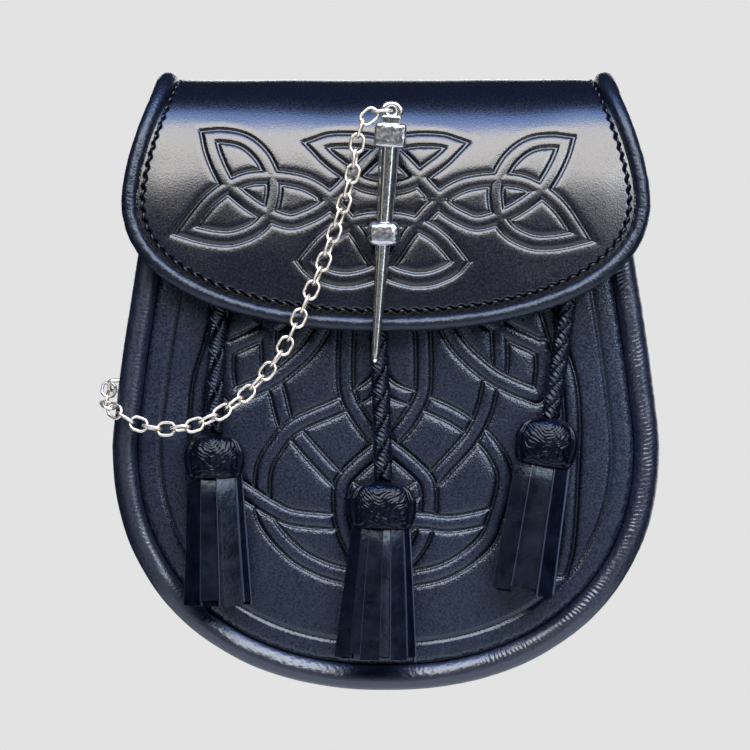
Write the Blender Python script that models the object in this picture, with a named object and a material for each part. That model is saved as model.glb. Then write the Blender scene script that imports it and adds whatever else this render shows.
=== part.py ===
"""A black leather sporran pouch as it hangs on a belt.

It is a hollow pocket with a rolled binding, a flap that folds over its mouth, a staple and a tapered pin
that hold the flap, the pin's chain, three tassels on braided cords, and a belt loop on the back.

The frame is +Z up, and the front faces -Y. The origin is the middle of the belt's passage through the loop on
the back. Sizes and places are in millimetres, as (across, depth, height), and metres() turns them into
Blender's.
"""

import math

import bmesh
import bpy
from mathutils import Matrix, Vector

MM = 0.001
GAP = 0.3  # left between pieces that touch
LEATHER = 2.2  # thickness of the panels and the flap

# The pocket's outline, seen from the front: a full round bottom, and shoulders that draw in towards the top.
BODY_HALF_WIDTH = 90.0
WIDEST_HEIGHT = -86.0
BOTTOM_HEIGHT = -166.6
ROUNDNESS = 2.2
SHOULDER_DRAW_IN = 19.0
SHOULDER_RISE = 120.0
SHOULDER_POWER = 1.25
SHOULDER_STEPS = 7
BOTTOM_STEPS = 26

# The pocket's walls, from back to front.
BACK_FACE_DEPTH = -2.8
BACK_TOP = 25.5
BACK_INSET = 2.5
GUSSET_INSET = 2.0
GUSSET_LEATHER = 2.0
GUSSET_TOP = 18.0
GUSSET_DEPTHS = (-5.3, -26.4)
BINDING_RADIUS = 4.25
BINDING_DEPTH = -31.0
BINDING_TOP = 12.0
PANEL_TOP = 10.0
PANEL_INSET = 2 * BINDING_RADIUS + GAP
PANEL_EDGE_DEPTH = -33.2
PANEL_DOME = 4.0
PANEL_RINGS = (1.0, 0.82, 0.56, 0.28)
PANEL_CENTRE_HEIGHT = -74.0
PANEL_TOP_STEPS = 6

# The flap, whose profile runs from its sewn end on the back, over the fold, to its lower front edge.
FLAP_HALF_WIDTH = 86.9
FLAP_WIDEST_HEIGHT = -5.6
FLAP_DROP = 43.3
FLAP_DRAW_IN = 11.15
FLAP_RISE = 38.7
FLAP_POWER = 1.6
FLAP_SIDE_RECESS = 5.5
FLAP_RECESS_FULL_DEPTH = -43.0
FLAP_PROFILE = (  # depth, height
    (-0.3, 23.0),
    (-0.3, 27.0),
    (-2.8, 31.4),
    (-8.0, 34.2),
    (-14.5, 34.8),
    (-24.0, 32.4),
    (-32.5, 26.6),
    (-39.0, 17.5),
    (-43.2, 5.5),
    (-45.6, -9.0),
    (-46.9, -27.0),
    (-47.2, -49.2),
)
FOLD_ROW = 4  # the profile's row at the top of the fold
FLAP_SIDE_HEIGHTS = (33.0, 29.0, 23.0, 14.5, 4.5)
FLAP_EDGE_STEPS = 9
FLAP_COLUMNS = 12
PIPING_RADIUS = 2.3
FLAP_INSET = 2 * PIPING_RADIUS + GAP

# The belt loop, a strap that bows out behind the back panel.
LOOP_HALF_WIDTH = 46.0
LOOP_PROFILE = (  # depth and height of the upper half's outer face, from its sewn end to the middle
    (-0.3, 22.2),
    (-0.3, 17.4),
    (3.6, 15.0),
    (5.0, 12.4),
)

# The staple stands on the front panel and comes out through the flap.
STAPLE_PLACE = (-0.8, -51.4, -16.9)
STAPLE_SIZE = (10.8, 9.0, 8.2)
STAPLE_BEVEL = 1.5
POST_SIDE = 4.0
POST_HOLE = 0.5  # room all round the post in the flap
PLATE_SIDE = 12.0
PLATE_THICKNESS = 1.2
POST_OVERLAP = 1.0

# The clasp pin: a taper that runs down through the staple, a square head, and an eye for the chain on top.
PIN_LEAN = math.radians(3.88)
PIN_HEAD_PLACE = (1.35, -51.4, 15.2)
PIN_HEAD_SIZE = (10.5, 8.2, 8.0)
PIN_HEAD_BEVEL = 1.0
PIN_TAPER = (  # distance below the head's middle, radius
    (2.0, 3.45),
    (24.0, 2.85),
    (40.0, 2.3),
    (72.0, 1.3),
    (74.2, 0.75),
)
PIN_SIDES = 12
EYE_HEIGHT = 8.2  # above the head's middle
EYE_RADIUS = 3.1
EYE_NECK_SIZE = (6.4, 2.4, 3.2)
EYE_NECK_HEIGHT = 4.8
EYE_HOLE_RADIUS = 1.15
EYE_THICKNESS = 2.0

# The chain, from the pin's eye to the anchor on the left side of the gusset.
LINK_LENGTH = 7.1
LINK_WIDTH = 5.2
LINK_WIRE = 0.88
LINK_COUNT = 35
LINK_END_STEPS = 5
LINK_WIRE_SIDES = 5
LINK_PITCH = LINK_LENGTH - 2 * LINK_WIRE - GAP
CHAIN_ROUTE = (  # across, depth, height; the first row is moved to the pin's eye
    (1.9, -51.4, 23.4),
    (-5.4, -51.4, 22.4),
    (-9.0, -51.4, 15.5),
    (-10.6, -51.4, 4.0),
    (-14.4, -51.5, -9.0),
    (-20.0, -51.6, -25.0),
    (-26.5, -51.7, -40.0),
    (-33.6, -51.6, -54.5),
    (-43.4, -50.6, -67.0),
    (-54.0, -49.6, -75.4),
    (-64.0, -47.8, -79.8),
    (-74.0, -44.2, -80.6),
    (-82.0, -40.8, -78.8),
    (-88.2, -38.4, -75.2),
    (-91.8, -33.6, -72.8),
    (-91.8, -28.0, -70.4),
    (-91.2, -23.6, -66.0),
    (-91.0, -22.2, -59.0),
)
ANCHOR_WIRE_RADIUS = 0.7
ANCHOR_HALF_WIDTH = 2.6
ANCHOR_CORNER = 1.2
ANCHOR_FOOT_GAP = 0.5

# The tassels and their cords. A cord's route runs from its top, under the flap, to its tassel's head.
CORD_RADIUS = 2.8
CORD_ROUTES = {  # across, depth, height
    "left": (
        (-55.0, -38.4, -33.0),
        (-55.2, -38.4, -45.0),
        (-55.6, -39.3, -57.0),
        (-56.0, -41.4, -69.0),
        (-56.4, -42.4, -81.9),
    ),
    "centre": (
        (-2.6, -40.5, -44.0),
        (-2.2, -40.5, -56.0),
        (-1.6, -41.1, -70.0),
        (-1.2, -43.0, -84.0),
        (-1.0, -44.0, -97.4),
    ),
    "right": (
        (60.4, -38.0, -33.0),
        (58.9, -38.0, -44.0),
        (57.2, -38.9, -55.0),
        (55.5, -41.1, -66.0),
        (53.8, -42.2, -76.6),
    ),
}
CORD_STEPS = 2  # curve steps in each stretch of a route
KNOT_GAP = 0.6  # from the middle of a cord's slanting end down to its tassel
# Each tassel: head half width, head length, skirt length, skirt half width at its top and bottom, lean
TASSELS = {
    "left": (9.5, 14.0, 41.6, 8.4, 10.7, math.radians(-1.5)),
    "centre": (10.8, 15.0, 42.6, 9.2, 13.2, math.radians(2.0)),
    "right": (10.0, 15.4, 42.0, 8.8, 10.2, math.radians(9.0)),
}
HEAD_HALF_DEPTH = 6.3
HEAD_PROFILE = (  # share of the head's length from its top, share of its half width
    (0.0, 0.42),
    (0.1, 0.7),
    (0.3, 0.97),
    (0.6, 1.0),
    (0.85, 0.9),
    (1.0, 0.8),
)
HEAD_SIDES = 12
STRIP_COUNT = 8
STRIP_THICKNESS = 1.6
STRIP_FILL = 0.96  # a strip's width as a share of its place round the skirt
STRIP_STARTS_IN_HEAD = 2.5
STRIP_ROWS = 3
SKIRT_HALF_DEPTHS = (4.6, 5.4)  # at the top and at the bottom, to the strips' middle
STRIP_END_DROPS = (0.0, -1.4, 0.6, -0.7, 0.3, -1.0, 0.8, -0.4)

# Smooth routes are worked out with this many steps between their points, and then walked along.
FINE_STEPS = 12


def metres(point):
    return Vector(point) * MM


# ---------------------------------------------------------------- objects and materials


def clear_scene():
    for obj in list(bpy.data.objects):
        bpy.data.objects.remove(obj)


def finish(name, colour, roughness, metallic=0.0):
    """A material with a Principled BSDF of that colour, roughness and metallic value."""
    material = bpy.data.materials.new(name)
    material.use_nodes = True
    shader = material.node_tree.nodes["Principled BSDF"]
    shader.inputs["Base Color"].default_value = (*colour, 1.0)
    shader.inputs["Roughness"].default_value = roughness
    shader.inputs["Metallic"].default_value = metallic
    return material


def add_object(name, data, material):
    obj = bpy.data.objects.new(name, data)
    if not data.materials:
        data.materials.append(material)
    bpy.context.scene.collection.objects.link(obj)
    return obj


def mesh_of(name, points, faces, smooth=True):
    """A mesh from points in millimetres and faces as lists of their indices."""
    mesh = bpy.data.meshes.new(name)
    mesh.from_pydata([metres(point) for point in points], [], faces)
    mesh.validate()
    if smooth:
        mesh.shade_smooth()
    return mesh


def helper(name, mesh, material, like=None):
    """An object that only a Boolean uses, placed like another one."""
    obj = add_object(name, mesh, material)
    obj.hide_render = True
    obj.display_type = "WIRE"
    if like is not None:
        obj.location = like.location
        obj.rotation_euler = like.rotation_euler
    return obj


def boolean(obj, operation, *others):
    """Joins the other objects to obj, or cuts them from it."""
    group = bpy.data.collections.new(obj.name + "_" + operation.lower())
    for other in others:
        group.objects.link(other)
    modifier = obj.modifiers.new(operation.title(), "BOOLEAN")
    modifier.operation = operation
    modifier.solver = "EXACT"
    modifier.operand_type = "COLLECTION"
    modifier.collection = group


def thicken(obj, thickness):
    """Gives an open surface its leather, on the side that its faces point away from."""
    modifier = obj.modifiers.new("Leather", "SOLIDIFY")
    modifier.thickness = thickness * MM
    modifier.offset = -1.0
    modifier.use_even_offset = True


# ---------------------------------------------------------------- curves


def smooth_route(points, steps=FINE_STEPS):
    """Points along a smooth curve through the given ones, with that many steps between two of them."""
    given = [Vector(point) for point in points]
    ends = [2 * given[0] - given[1], *given, 2 * given[-1] - given[-2]]
    route = []
    for before, start, end, after in zip(ends, ends[1:], ends[2:], ends[3:]):
        for step in range(steps):
            t = step / steps
            bend = (2 * before - 5 * start + 4 * end - after) * t**2
            twist = (3 * start - before - 3 * end + after) * t**3
            route.append(0.5 * (2 * start + (end - before) * t + bend + twist))
    return [*route, given[-1]]


def walk(route, distance):
    """The point at that distance along a route."""
    for start, end in zip(route, route[1:]):
        step = (end - start).length
        if distance <= step:
            return start.lerp(end, distance / step)
        distance -= step
    return route[-1]


def tube(name, route, radius, material):
    """A round tube with closed ends along a route."""
    curve = bpy.data.curves.new(name, "CURVE")
    curve.dimensions = "3D"
    curve.bevel_depth = radius * MM
    curve.bevel_resolution = 2
    curve.use_fill_caps = True
    spline = curve.splines.new("POLY")
    spline.points.add(len(route) - 1)
    for place, point in zip(spline.points, route):
        place.co = (*metres(point), 1.0)
    return add_object(name, curve, material)


# ---------------------------------------------------------------- closed shapes


def stack(name, rings):
    """A closed mesh through rings of points, with a flat cap on each end."""
    count = len(rings[0])
    points = [point for ring in rings for point in ring]
    faces = [list(range(count)), list(range(len(points) - count, len(points)))]
    for row in range(len(rings) - 1):
        for i in range(count):
            a = row * count + i
            b = row * count + (i + 1) % count
            faces.append([a, b, b + count, a + count])
    return facing_out(mesh_of(name, points, faces))


def facing_out(mesh):
    shape = bmesh.new()
    shape.from_mesh(mesh)
    bmesh.ops.recalc_face_normals(shape, faces=shape.faces)
    shape.to_mesh(mesh)
    shape.free()
    mesh.set_sharp_from_angle(angle=math.radians(40))
    return mesh


def oval(half_width, half_depth, height, sides):
    turns = [2 * math.pi * i / sides for i in range(sides)]
    return [(half_width * math.cos(t), half_depth * math.sin(t), height) for t in turns]


def block(name, size):
    """A box with its middle at its origin."""
    x, y, z = (side / 2 for side in size)
    rings = [[(-x, -y, h), (x, -y, h), (x, y, h), (-x, y, h)] for h in (-z, z)]
    mesh = stack(name, rings)
    mesh.shade_flat()
    return mesh


def bevel(obj, width):
    modifier = obj.modifiers.new("Rounded edges", "BEVEL")
    modifier.width = width * MM
    modifier.segments = 2
    modifier.limit_method = "ANGLE"


def closed_sweep(name, path, section):
    """A section swept round a closed path.

    The path's rows are a point and its outward direction, both across and up. The section's rows are how far
    outwards and how far back.
    """
    points = []
    for (across, height), (out_across, out_height) in path:
        for out, back in section:
            points.append((across + out * out_across, back, height + out * out_height))
    count = len(section)
    faces = []
    for i in range(len(path)):
        start = i * count
        after = (i + 1) % len(path) * count
        for j in range(count):
            k = (j + 1) % count
            faces.append([start + j, start + k, after + k, after + j])
    return facing_out(mesh_of(name, points, faces))


# ---------------------------------------------------------------- the pocket


def body_half_width(height):
    if height < WIDEST_HEIGHT:
        down = min(1.0, (WIDEST_HEIGHT - height) / (WIDEST_HEIGHT - BOTTOM_HEIGHT))
        return BODY_HALF_WIDTH * (1 - down**ROUNDNESS) ** (1 / ROUNDNESS)
    rise = (height - WIDEST_HEIGHT) / SHOULDER_RISE
    return BODY_HALF_WIDTH - SHOULDER_DRAW_IN * rise**SHOULDER_POWER


def body_outline(inset, top):
    """(across, height) from the top left, round the bottom, up to the top right, moved in by inset."""
    heights = [top + (WIDEST_HEIGHT - top) * i / SHOULDER_STEPS for i in range(SHOULDER_STEPS)]
    left = [(-body_half_width(height), height) for height in heights]
    bottom = []
    for i in range(BOTTOM_STEPS + 1):
        turn = math.pi * i / BOTTOM_STEPS
        across = abs(math.cos(turn)) ** (2 / ROUNDNESS) * BODY_HALF_WIDTH
        down = abs(math.sin(turn)) ** (2 / ROUNDNESS) * (WIDEST_HEIGHT - BOTTOM_HEIGHT)
        bottom.append((math.copysign(across, -math.cos(turn)), WIDEST_HEIGHT - down))
    right = [(-across, height) for across, height in reversed(left)]
    return moved_in(left + bottom + right, inset, top)


def moved_in(path, inset, top):
    """The path moved to its left by inset, and cut level at the top."""
    moved = []
    for i, (across, height) in enumerate(path):
        before = path[max(i - 1, 0)]
        after = path[min(i + 1, len(path) - 1)]
        along = Vector((after[0] - before[0], after[1] - before[1])).normalized()
        level = top if i in (0, len(path) - 1) else height + inset * along.x
        moved.append((across - inset * along.y, level))
    return moved


def panel_depth(across, height):
    """The depth of the front panel's outer face, which is domed."""
    edge = max(1.0, body_half_width(height) - PANEL_INSET)
    sideways = 1 - min(1.0, abs(across) / edge) ** 2
    reach = WIDEST_HEIGHT - BOTTOM_HEIGHT - PANEL_INSET
    down = min(1.0, max(0.0, WIDEST_HEIGHT - height) / reach)
    return PANEL_EDGE_DEPTH - PANEL_DOME * sideways * (1 - down**2)


def make_back_panel(leather):
    outline = body_outline(BACK_INSET, BACK_TOP)
    points = [(across, BACK_FACE_DEPTH - LEATHER, height) for across, height in outline]
    mesh = mesh_of("back_panel", points, [list(range(len(points)))], smooth=False)
    thicken(add_object("back_panel", mesh, leather), LEATHER)


def make_gusset(leather):
    """The pocket's side wall, one strip round the sides and the bottom."""
    outline = body_outline(GUSSET_INSET, GUSSET_TOP)
    points = [(x, depth, z) for x, z in outline for depth in GUSSET_DEPTHS]
    faces = [[i, i + 2, i + 3, i + 1] for i in range(0, len(points) - 2, 2)]
    obj = add_object("gusset", mesh_of("gusset", points, faces), leather)
    thicken(obj, GUSSET_LEATHER)


def make_body_piping(leather):
    outline = body_outline(BINDING_RADIUS, BINDING_TOP)
    route = [(x, BINDING_DEPTH, z) for x, z in outline]
    tube("body_piping", route, BINDING_RADIUS, leather)


def make_front_panel(leather):
    """Rings of points from the panel's edge to its middle, on its domed face."""
    rim = body_outline(PANEL_INSET, PANEL_TOP)
    corner = rim[-1][0]
    for i in range(1, PANEL_TOP_STEPS):
        rim.append((corner - 2 * corner * i / PANEL_TOP_STEPS, PANEL_TOP))
    points = []
    for share in PANEL_RINGS:
        for x, z in rim:
            height = PANEL_CENTRE_HEIGHT + (z - PANEL_CENTRE_HEIGHT) * share
            points.append((x * share, panel_depth(x * share, height), height))
    points.append((0.0, panel_depth(0.0, PANEL_CENTRE_HEIGHT), PANEL_CENTRE_HEIGHT))
    count = len(rim)
    inner = len(points) - 1 - count
    faces = []
    for i in range(count):
        j = (i + 1) % count
        for start in range(0, inner, count):
            faces.append([start + i, start + j, start + count + j, start + count + i])
        faces.append([inner + i, inner + j, len(points) - 1])
    obj = add_object("front_panel", mesh_of("front_panel", points, faces), leather)
    thicken(obj, LEATHER)


def make_belt_loop(leather):
    """A strap that is flat on the back panel at its two sewn ends and bows out between them."""
    profile = [*LOOP_PROFILE, *((depth, -height) for depth, height in reversed(LOOP_PROFILE))]
    points = []
    for depth, height in profile:
        points += [(-LOOP_HALF_WIDTH, depth, height), (LOOP_HALF_WIDTH, depth, height)]
    faces = [[i, i + 1, i + 3, i + 2] for i in range(0, len(points) - 2, 2)]
    obj = add_object("belt_loop", mesh_of("belt_loop", points, faces, smooth=False), leather)
    thicken(obj, LEATHER)


# ---------------------------------------------------------------- the flap


def flap_half_width(height, inset):
    """Half the flap's width at a height on its front, inside its outer edge by inset."""
    if height < FLAP_WIDEST_HEIGHT:
        down = min(1.0, (FLAP_WIDEST_HEIGHT - height) / (FLAP_DROP - inset))
        return (FLAP_HALF_WIDTH - inset) * (1 - down**ROUNDNESS) ** (1 / ROUNDNESS)
    rise = (height - FLAP_WIDEST_HEIGHT) / FLAP_RISE
    return FLAP_HALF_WIDTH - inset - FLAP_DRAW_IN * rise**FLAP_POWER


def flap_line():
    """The flap's profile as a smooth line, with the direction out of the leather at each point."""
    line = smooth_route(FLAP_PROFILE)
    rows = []
    for i, place in enumerate(line):
        along = (line[min(i + 1, len(line) - 1)] - line[max(i - 1, 0)]).normalized()
        rows.append((place, Vector((along.y, -along.x))))
    return rows


def flap_sections(inset):
    """Rows from the flap's sewn end to its lowest point.

    Each row is the profile's point, its outward direction, and the flap's half width there, inside inset.
    """
    line = flap_line()
    fold = FOLD_ROW * FINE_STEPS
    top_width = flap_half_width(line[fold][0].y, inset)
    rows = [(*line[i * FINE_STEPS], top_width) for i in range(FOLD_ROW + 1)]
    heights = list(FLAP_SIDE_HEIGHTS)
    for i in range(FLAP_EDGE_STEPS + 1):
        turn = 0.5 * math.pi * i / FLAP_EDGE_STEPS
        down = (FLAP_DROP - inset) * abs(math.sin(turn)) ** (2 / ROUNDNESS)
        heights.append(FLAP_WIDEST_HEIGHT - down)
    for height in heights:
        below = next(i for i in range(fold, len(line)) if line[i][0].y <= height)
        (upper, _), (lower, out) = line[below - 1], line[below]
        place = upper.lerp(lower, (upper.y - height) / (upper.y - lower.y))
        rows.append((place, out, flap_half_width(height, inset)))
    return rows


def flap_point(across, place, out, sink):
    """A point of the flap, sunk below its outer face. The front's sides lie further back than its middle."""
    fold_depth = FLAP_PROFILE[FOLD_ROW][0]
    front = (fold_depth - place.x) / (fold_depth - FLAP_RECESS_FULL_DEPTH)
    recess = FLAP_SIDE_RECESS * min(1.0, max(0.0, front))
    recess *= (abs(across) / FLAP_HALF_WIDTH) ** 3
    return (across, place.x - out.x * sink + recess, place.y - out.y * sink)


def make_flap(leather):
    points, faces = [], []
    sections = flap_sections(FLAP_INSET)
    for place, out, half_width in sections[:-1]:
        for column in range(FLAP_COLUMNS + 1):
            across = half_width * (2 * column / FLAP_COLUMNS - 1)
            points.append(flap_point(across, place, out, 0.0))
    points.append(flap_point(0.0, *sections[-1][:2], 0.0))
    wide = FLAP_COLUMNS + 1
    last_row = (len(sections) - 2) * wide
    for start in range(0, last_row, wide):
        for i in range(start, start + FLAP_COLUMNS):
            faces.append([i, i + wide, i + wide + 1, i + 1])
    for i in range(last_row, last_row + FLAP_COLUMNS):
        faces.append([i, len(points) - 1, i + 1])
    flap = add_object("flap", mesh_of("flap", points, faces), leather)
    thicken(flap, LEATHER)
    hole_side = POST_SIDE + 2 * POST_HOLE
    hole = helper("post_hole", block("post_hole", (hole_side, 12.0, hole_side)), leather)
    across, _, height = STAPLE_PLACE
    hole.location = metres((across, FLAP_RECESS_FULL_DEPTH - LEATHER, height))
    boolean(flap, "DIFFERENCE", hole)


def make_flap_piping(leather):
    """A round edging down one side of the flap, round its lower edge and up the other side."""
    left = [
        flap_point(-half_width, place, out, LEATHER / 2)
        for place, out, half_width in flap_sections(PIPING_RADIUS)
    ]
    right = [(-across, depth, height) for across, depth, height in reversed(left[:-1])]
    tube("flap_piping", left + right, PIPING_RADIUS, leather)


# ---------------------------------------------------------------- the clasp


def pin_taper(grow=0.0):
    rings = [oval(r + grow, r + grow, -down, PIN_SIDES) for down, r in PIN_TAPER]
    return stack("taper", rings)


def place_pin_piece(obj):
    obj.location = metres(PIN_HEAD_PLACE)
    obj.rotation_euler = (0.0, PIN_LEAN, 0.0)


def make_clasp_pin(metal):
    pin = add_object("clasp_pin", pin_taper(), metal)
    place_pin_piece(pin)
    head = helper("pin_head", block("pin_head", PIN_HEAD_SIZE), metal, like=pin)
    bevel(head, PIN_HEAD_BEVEL)
    ring = []
    for i in range(PIN_SIDES):
        turn = 2 * math.pi * i / PIN_SIDES
        out = (math.cos(turn), math.sin(turn))
        ring.append(((EYE_RADIUS * out[0], EYE_HEIGHT + EYE_RADIUS * out[1]), out))
    wall = EYE_RADIUS - EYE_HOLE_RADIUS
    half = EYE_THICKNESS / 2
    section = ((0.0, -half), (0.0, half), (-wall, half), (-wall, -half))
    eye = helper("pin_eye", closed_sweep("pin_eye", ring, section), metal, like=pin)
    neck = helper("pin_neck", block("pin_neck", EYE_NECK_SIZE), metal, like=pin)
    neck.location += metres((math.sin(PIN_LEAN), 0.0, math.cos(PIN_LEAN))) * EYE_NECK_HEIGHT
    boolean(pin, "UNION", head, eye, neck)


def make_staple(metal):
    """A rounded block that the pin runs through, on a post from a plate on the front panel."""
    across, depth, height = STAPLE_PLACE
    staple = add_object("staple", block("staple", STAPLE_SIZE), metal)
    staple.location = metres(STAPLE_PLACE)
    bevel(staple, STAPLE_BEVEL)
    plate_front = panel_depth(across, height) - GAP - PLATE_THICKNESS
    block_back = depth + STAPLE_SIZE[1] / 2
    post_length = plate_front - block_back + 2 * POST_OVERLAP
    post = helper("post", block("post", (POST_SIDE, post_length, POST_SIDE)), metal)
    post.location = metres((across, (plate_front + block_back) / 2, height))
    plate_size = (PLATE_SIDE, PLATE_THICKNESS, PLATE_SIDE)
    plate = helper("plate", block("plate", plate_size), metal)
    plate.location = metres((across, plate_front + PLATE_THICKNESS / 2, height))
    boolean(staple, "UNION", post, plate)
    bore = helper("pin_bore", pin_taper(grow=GAP), metal)
    place_pin_piece(bore)
    boolean(staple, "DIFFERENCE", bore)


# ---------------------------------------------------------------- the chain


def link_mesh(metal):
    """An oval link of round wire, with its length along Z and its width along X."""
    radius = (LINK_WIDTH - LINK_WIRE) / 2
    straight = (LINK_LENGTH - LINK_WIDTH) / 2
    path = []
    for end in (1, -1):
        for i in range(LINK_END_STEPS + 1):
            turn = math.pi * i / LINK_END_STEPS
            out = (end * math.cos(turn), end * math.sin(turn))
            path.append(((radius * out[0], end * straight + radius * out[1]), out))
    turns = [2 * math.pi * (i + 0.5) / LINK_WIRE_SIDES for i in range(LINK_WIRE_SIDES)]
    wire = LINK_WIRE / 2
    section = [(wire * math.cos(turn), wire * math.sin(turn)) for turn in turns]
    mesh = closed_sweep("chain_link", path, section)
    mesh.materials.append(metal)
    return mesh


def out_of_surface(place):
    """The direction away from the pouch: forwards on its front, turning sideways round its left binding."""
    edge = BINDING_RADIUS - BODY_HALF_WIDTH
    inside = Vector((max(place.x, edge), max(place.y, BINDING_DEPTH), place.z))
    return (place - inside).normalized()


def pin_eye_place():
    """The middle of the hole in the pin's eye."""
    up_the_pin = Vector((math.sin(PIN_LEAN), 0.0, math.cos(PIN_LEAN)))
    return Vector(PIN_HEAD_PLACE) + EYE_HEIGHT * up_the_pin


def chain_joints():
    """Where each link meets the next. The first link's wire runs through the pin's eye."""
    route = smooth_route([pin_eye_place(), *CHAIN_ROUTE[1:]])
    first = (LINK_WIRE + GAP) / 2
    return [walk(route, first + i * LINK_PITCH) for i in range(LINK_COUNT + 1)]


def make_chain(metal):
    joints = chain_joints()
    mesh = link_mesh(metal)
    for i, (start, end) in enumerate(zip(joints, joints[1:])):
        along = (end - start).normalized()
        out = out_of_surface((start + end) / 2)
        beside = along.cross(out).normalized()
        wide = beside.cross(along) if i % 2 == 0 else beside
        turn = Matrix((wide, along.cross(wide), along)).transposed()
        link = add_object(f"chain_link_{i + 1:02d}", mesh, metal)
        link.matrix_world = Matrix.Translation(metres((start + end) / 2)) @ turn.to_4x4()


def make_chain_anchor(metal):
    """A wire staple in the gusset, with the last link round its bar."""
    before, last = chain_joints()[-2:]
    along = (last - before).normalized()
    bar = last - along * (GAP / 2 + ANCHOR_WIRE_RADIUS)
    inwards = Vector((1.0, 0.0, 0.0))
    beside = along.cross(inwards).normalized()
    foot = GUSSET_INSET - body_half_width(bar.z) - ANCHOR_FOOT_GAP
    leg = inwards * (foot - bar.x)
    corner = inwards * ANCHOR_CORNER
    half = [
        bar + beside * ANCHOR_HALF_WIDTH + leg,
        bar + beside * ANCHOR_HALF_WIDTH + corner,
        bar + beside * (ANCHOR_HALF_WIDTH - ANCHOR_CORNER),
    ]
    other = [point - 2 * beside * (point - bar).dot(beside) for point in reversed(half)]
    tube("chain_anchor", half + other, ANCHOR_WIRE_RADIUS, metal)


# ---------------------------------------------------------------- the tassels


def make_cord(side, leather):
    route = smooth_route(CORD_ROUTES[side], CORD_STEPS)
    tube(f"tassel_cord_{side}", route, CORD_RADIUS, leather)


def strip_mesh(index, head_length, skirt_length, top, bottom):
    """One strip of the skirt, from inside the head to the skirt's end, on an oval that widens."""
    turn = 2 * math.pi * (index + 0.5) / STRIP_COUNT
    length = skirt_length + STRIP_STARTS_IN_HEAD + STRIP_END_DROPS[index]
    rings = []
    for row in range(STRIP_ROWS + 1):
        share = row / STRIP_ROWS
        half_width = top + (bottom - top) * share
        half_depth = SKIRT_HALF_DEPTHS[0] + (SKIRT_HALF_DEPTHS[1] - SKIRT_HALF_DEPTHS[0]) * share
        middle = Vector((half_width * math.cos(turn), half_depth * math.sin(turn), 0.0))
        along = Vector((-half_width * math.sin(turn), half_depth * math.cos(turn), 0.0))
        half = along * (math.pi / STRIP_COUNT) * STRIP_FILL
        out = Vector((along.y, -along.x, 0.0)).normalized() * (STRIP_THICKNESS / 2)
        middle.z = STRIP_STARTS_IN_HEAD - head_length - length * share
        corners = ((-1, -1), (1, -1), (1, 1), (-1, 1))
        rings.append([middle + half * across + out * over for across, over in corners])
    return stack("strip", rings)


def make_tassel(side, leather):
    """A knotted head with leather strips hanging from it, fused into one body."""
    half_width, head_length, skirt_length, top, bottom, lean = TASSELS[side]
    rings = [
        oval(half_width * share, HEAD_HALF_DEPTH * share, -head_length * down, HEAD_SIDES)
        for down, share in HEAD_PROFILE
    ]
    name = f"tassel_{side}"
    tassel = add_object(name, stack(name, rings), leather)
    cord_end = Vector(CORD_ROUTES[side][-1])
    tassel.location = metres(cord_end - Vector((0.0, 0.0, KNOT_GAP)))
    tassel.rotation_euler = (0.0, lean, 0.0)
    strips = []
    for i in range(STRIP_COUNT):
        mesh = strip_mesh(i, head_length, skirt_length, top, bottom)
        strips.append(helper(f"{name}_strip_{i + 1}", mesh, leather, like=tassel))
    boolean(tassel, "UNION", *strips)


def main():
    clear_scene()
    embossed = finish("embossed_leather", (0.016, 0.017, 0.025), 0.38)
    plain = finish("plain_leather", (0.014, 0.015, 0.02), 0.5)
    binding = finish("binding_leather", (0.018, 0.019, 0.028), 0.42)
    tassel_leather = finish("tassel_leather", (0.012, 0.012, 0.015), 0.45)
    polished = finish("polished_metal", (0.72, 0.72, 0.73), 0.14, 1.0)
    chain_metal = finish("chain_metal", (0.78, 0.78, 0.79), 0.2, 1.0)
    make_back_panel(plain)
    make_gusset(plain)
    make_belt_loop(plain)
    make_body_piping(binding)
    make_front_panel(embossed)
    make_flap(embossed)
    make_flap_piping(binding)
    make_staple(polished)
    make_clasp_pin(polished)
    make_chain(chain_metal)
    make_chain_anchor(chain_metal)
    for side in CORD_ROUTES:
        make_cord(side, tassel_leather)
        make_tassel(side, tassel_leather)
    pouch = bpy.data.objects.new("sporran_pouch", None)
    bpy.context.scene.collection.objects.link(pouch)
    for obj in bpy.context.scene.collection.objects:
        if obj is not pouch:
            obj.parent = pouch


main()
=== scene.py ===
"""The looks of the sporran pouch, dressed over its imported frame.

Sizes and places are in millimetres, as (across, depth, height), and MM turns them into metres. The frame is
+Z up, and the pouch's front faces -Y. Places that were read off the photograph are in its pixels, and
on_front() turns them into millimetres. The studio's lights are placed in metres.
"""

import math

import bmesh
import bpy
import numpy as np
from mathutils import Matrix, Vector, kdtree
from mathutils.geometry import delaunay_2d_cdt


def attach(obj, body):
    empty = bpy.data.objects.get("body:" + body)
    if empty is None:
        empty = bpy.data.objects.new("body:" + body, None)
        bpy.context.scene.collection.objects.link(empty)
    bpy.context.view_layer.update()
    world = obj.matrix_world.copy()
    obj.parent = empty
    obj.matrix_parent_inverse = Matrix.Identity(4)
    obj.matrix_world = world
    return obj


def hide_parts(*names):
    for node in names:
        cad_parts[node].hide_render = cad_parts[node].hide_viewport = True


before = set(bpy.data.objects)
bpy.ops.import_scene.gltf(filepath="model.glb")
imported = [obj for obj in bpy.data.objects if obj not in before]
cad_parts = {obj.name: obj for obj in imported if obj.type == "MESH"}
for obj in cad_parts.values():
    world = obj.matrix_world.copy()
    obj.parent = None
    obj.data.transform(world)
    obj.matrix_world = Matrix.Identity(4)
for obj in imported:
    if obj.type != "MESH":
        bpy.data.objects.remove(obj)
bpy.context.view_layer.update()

MM = 0.001
GAP = 0.3
LEATHER = 2.2
SEED = 7
STITCH_PITCH = 3.85
FRONTWARDS, BACKWARDS = (0.0, -1.0, 0.0), (0.0, 1.0, 0.0)

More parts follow.
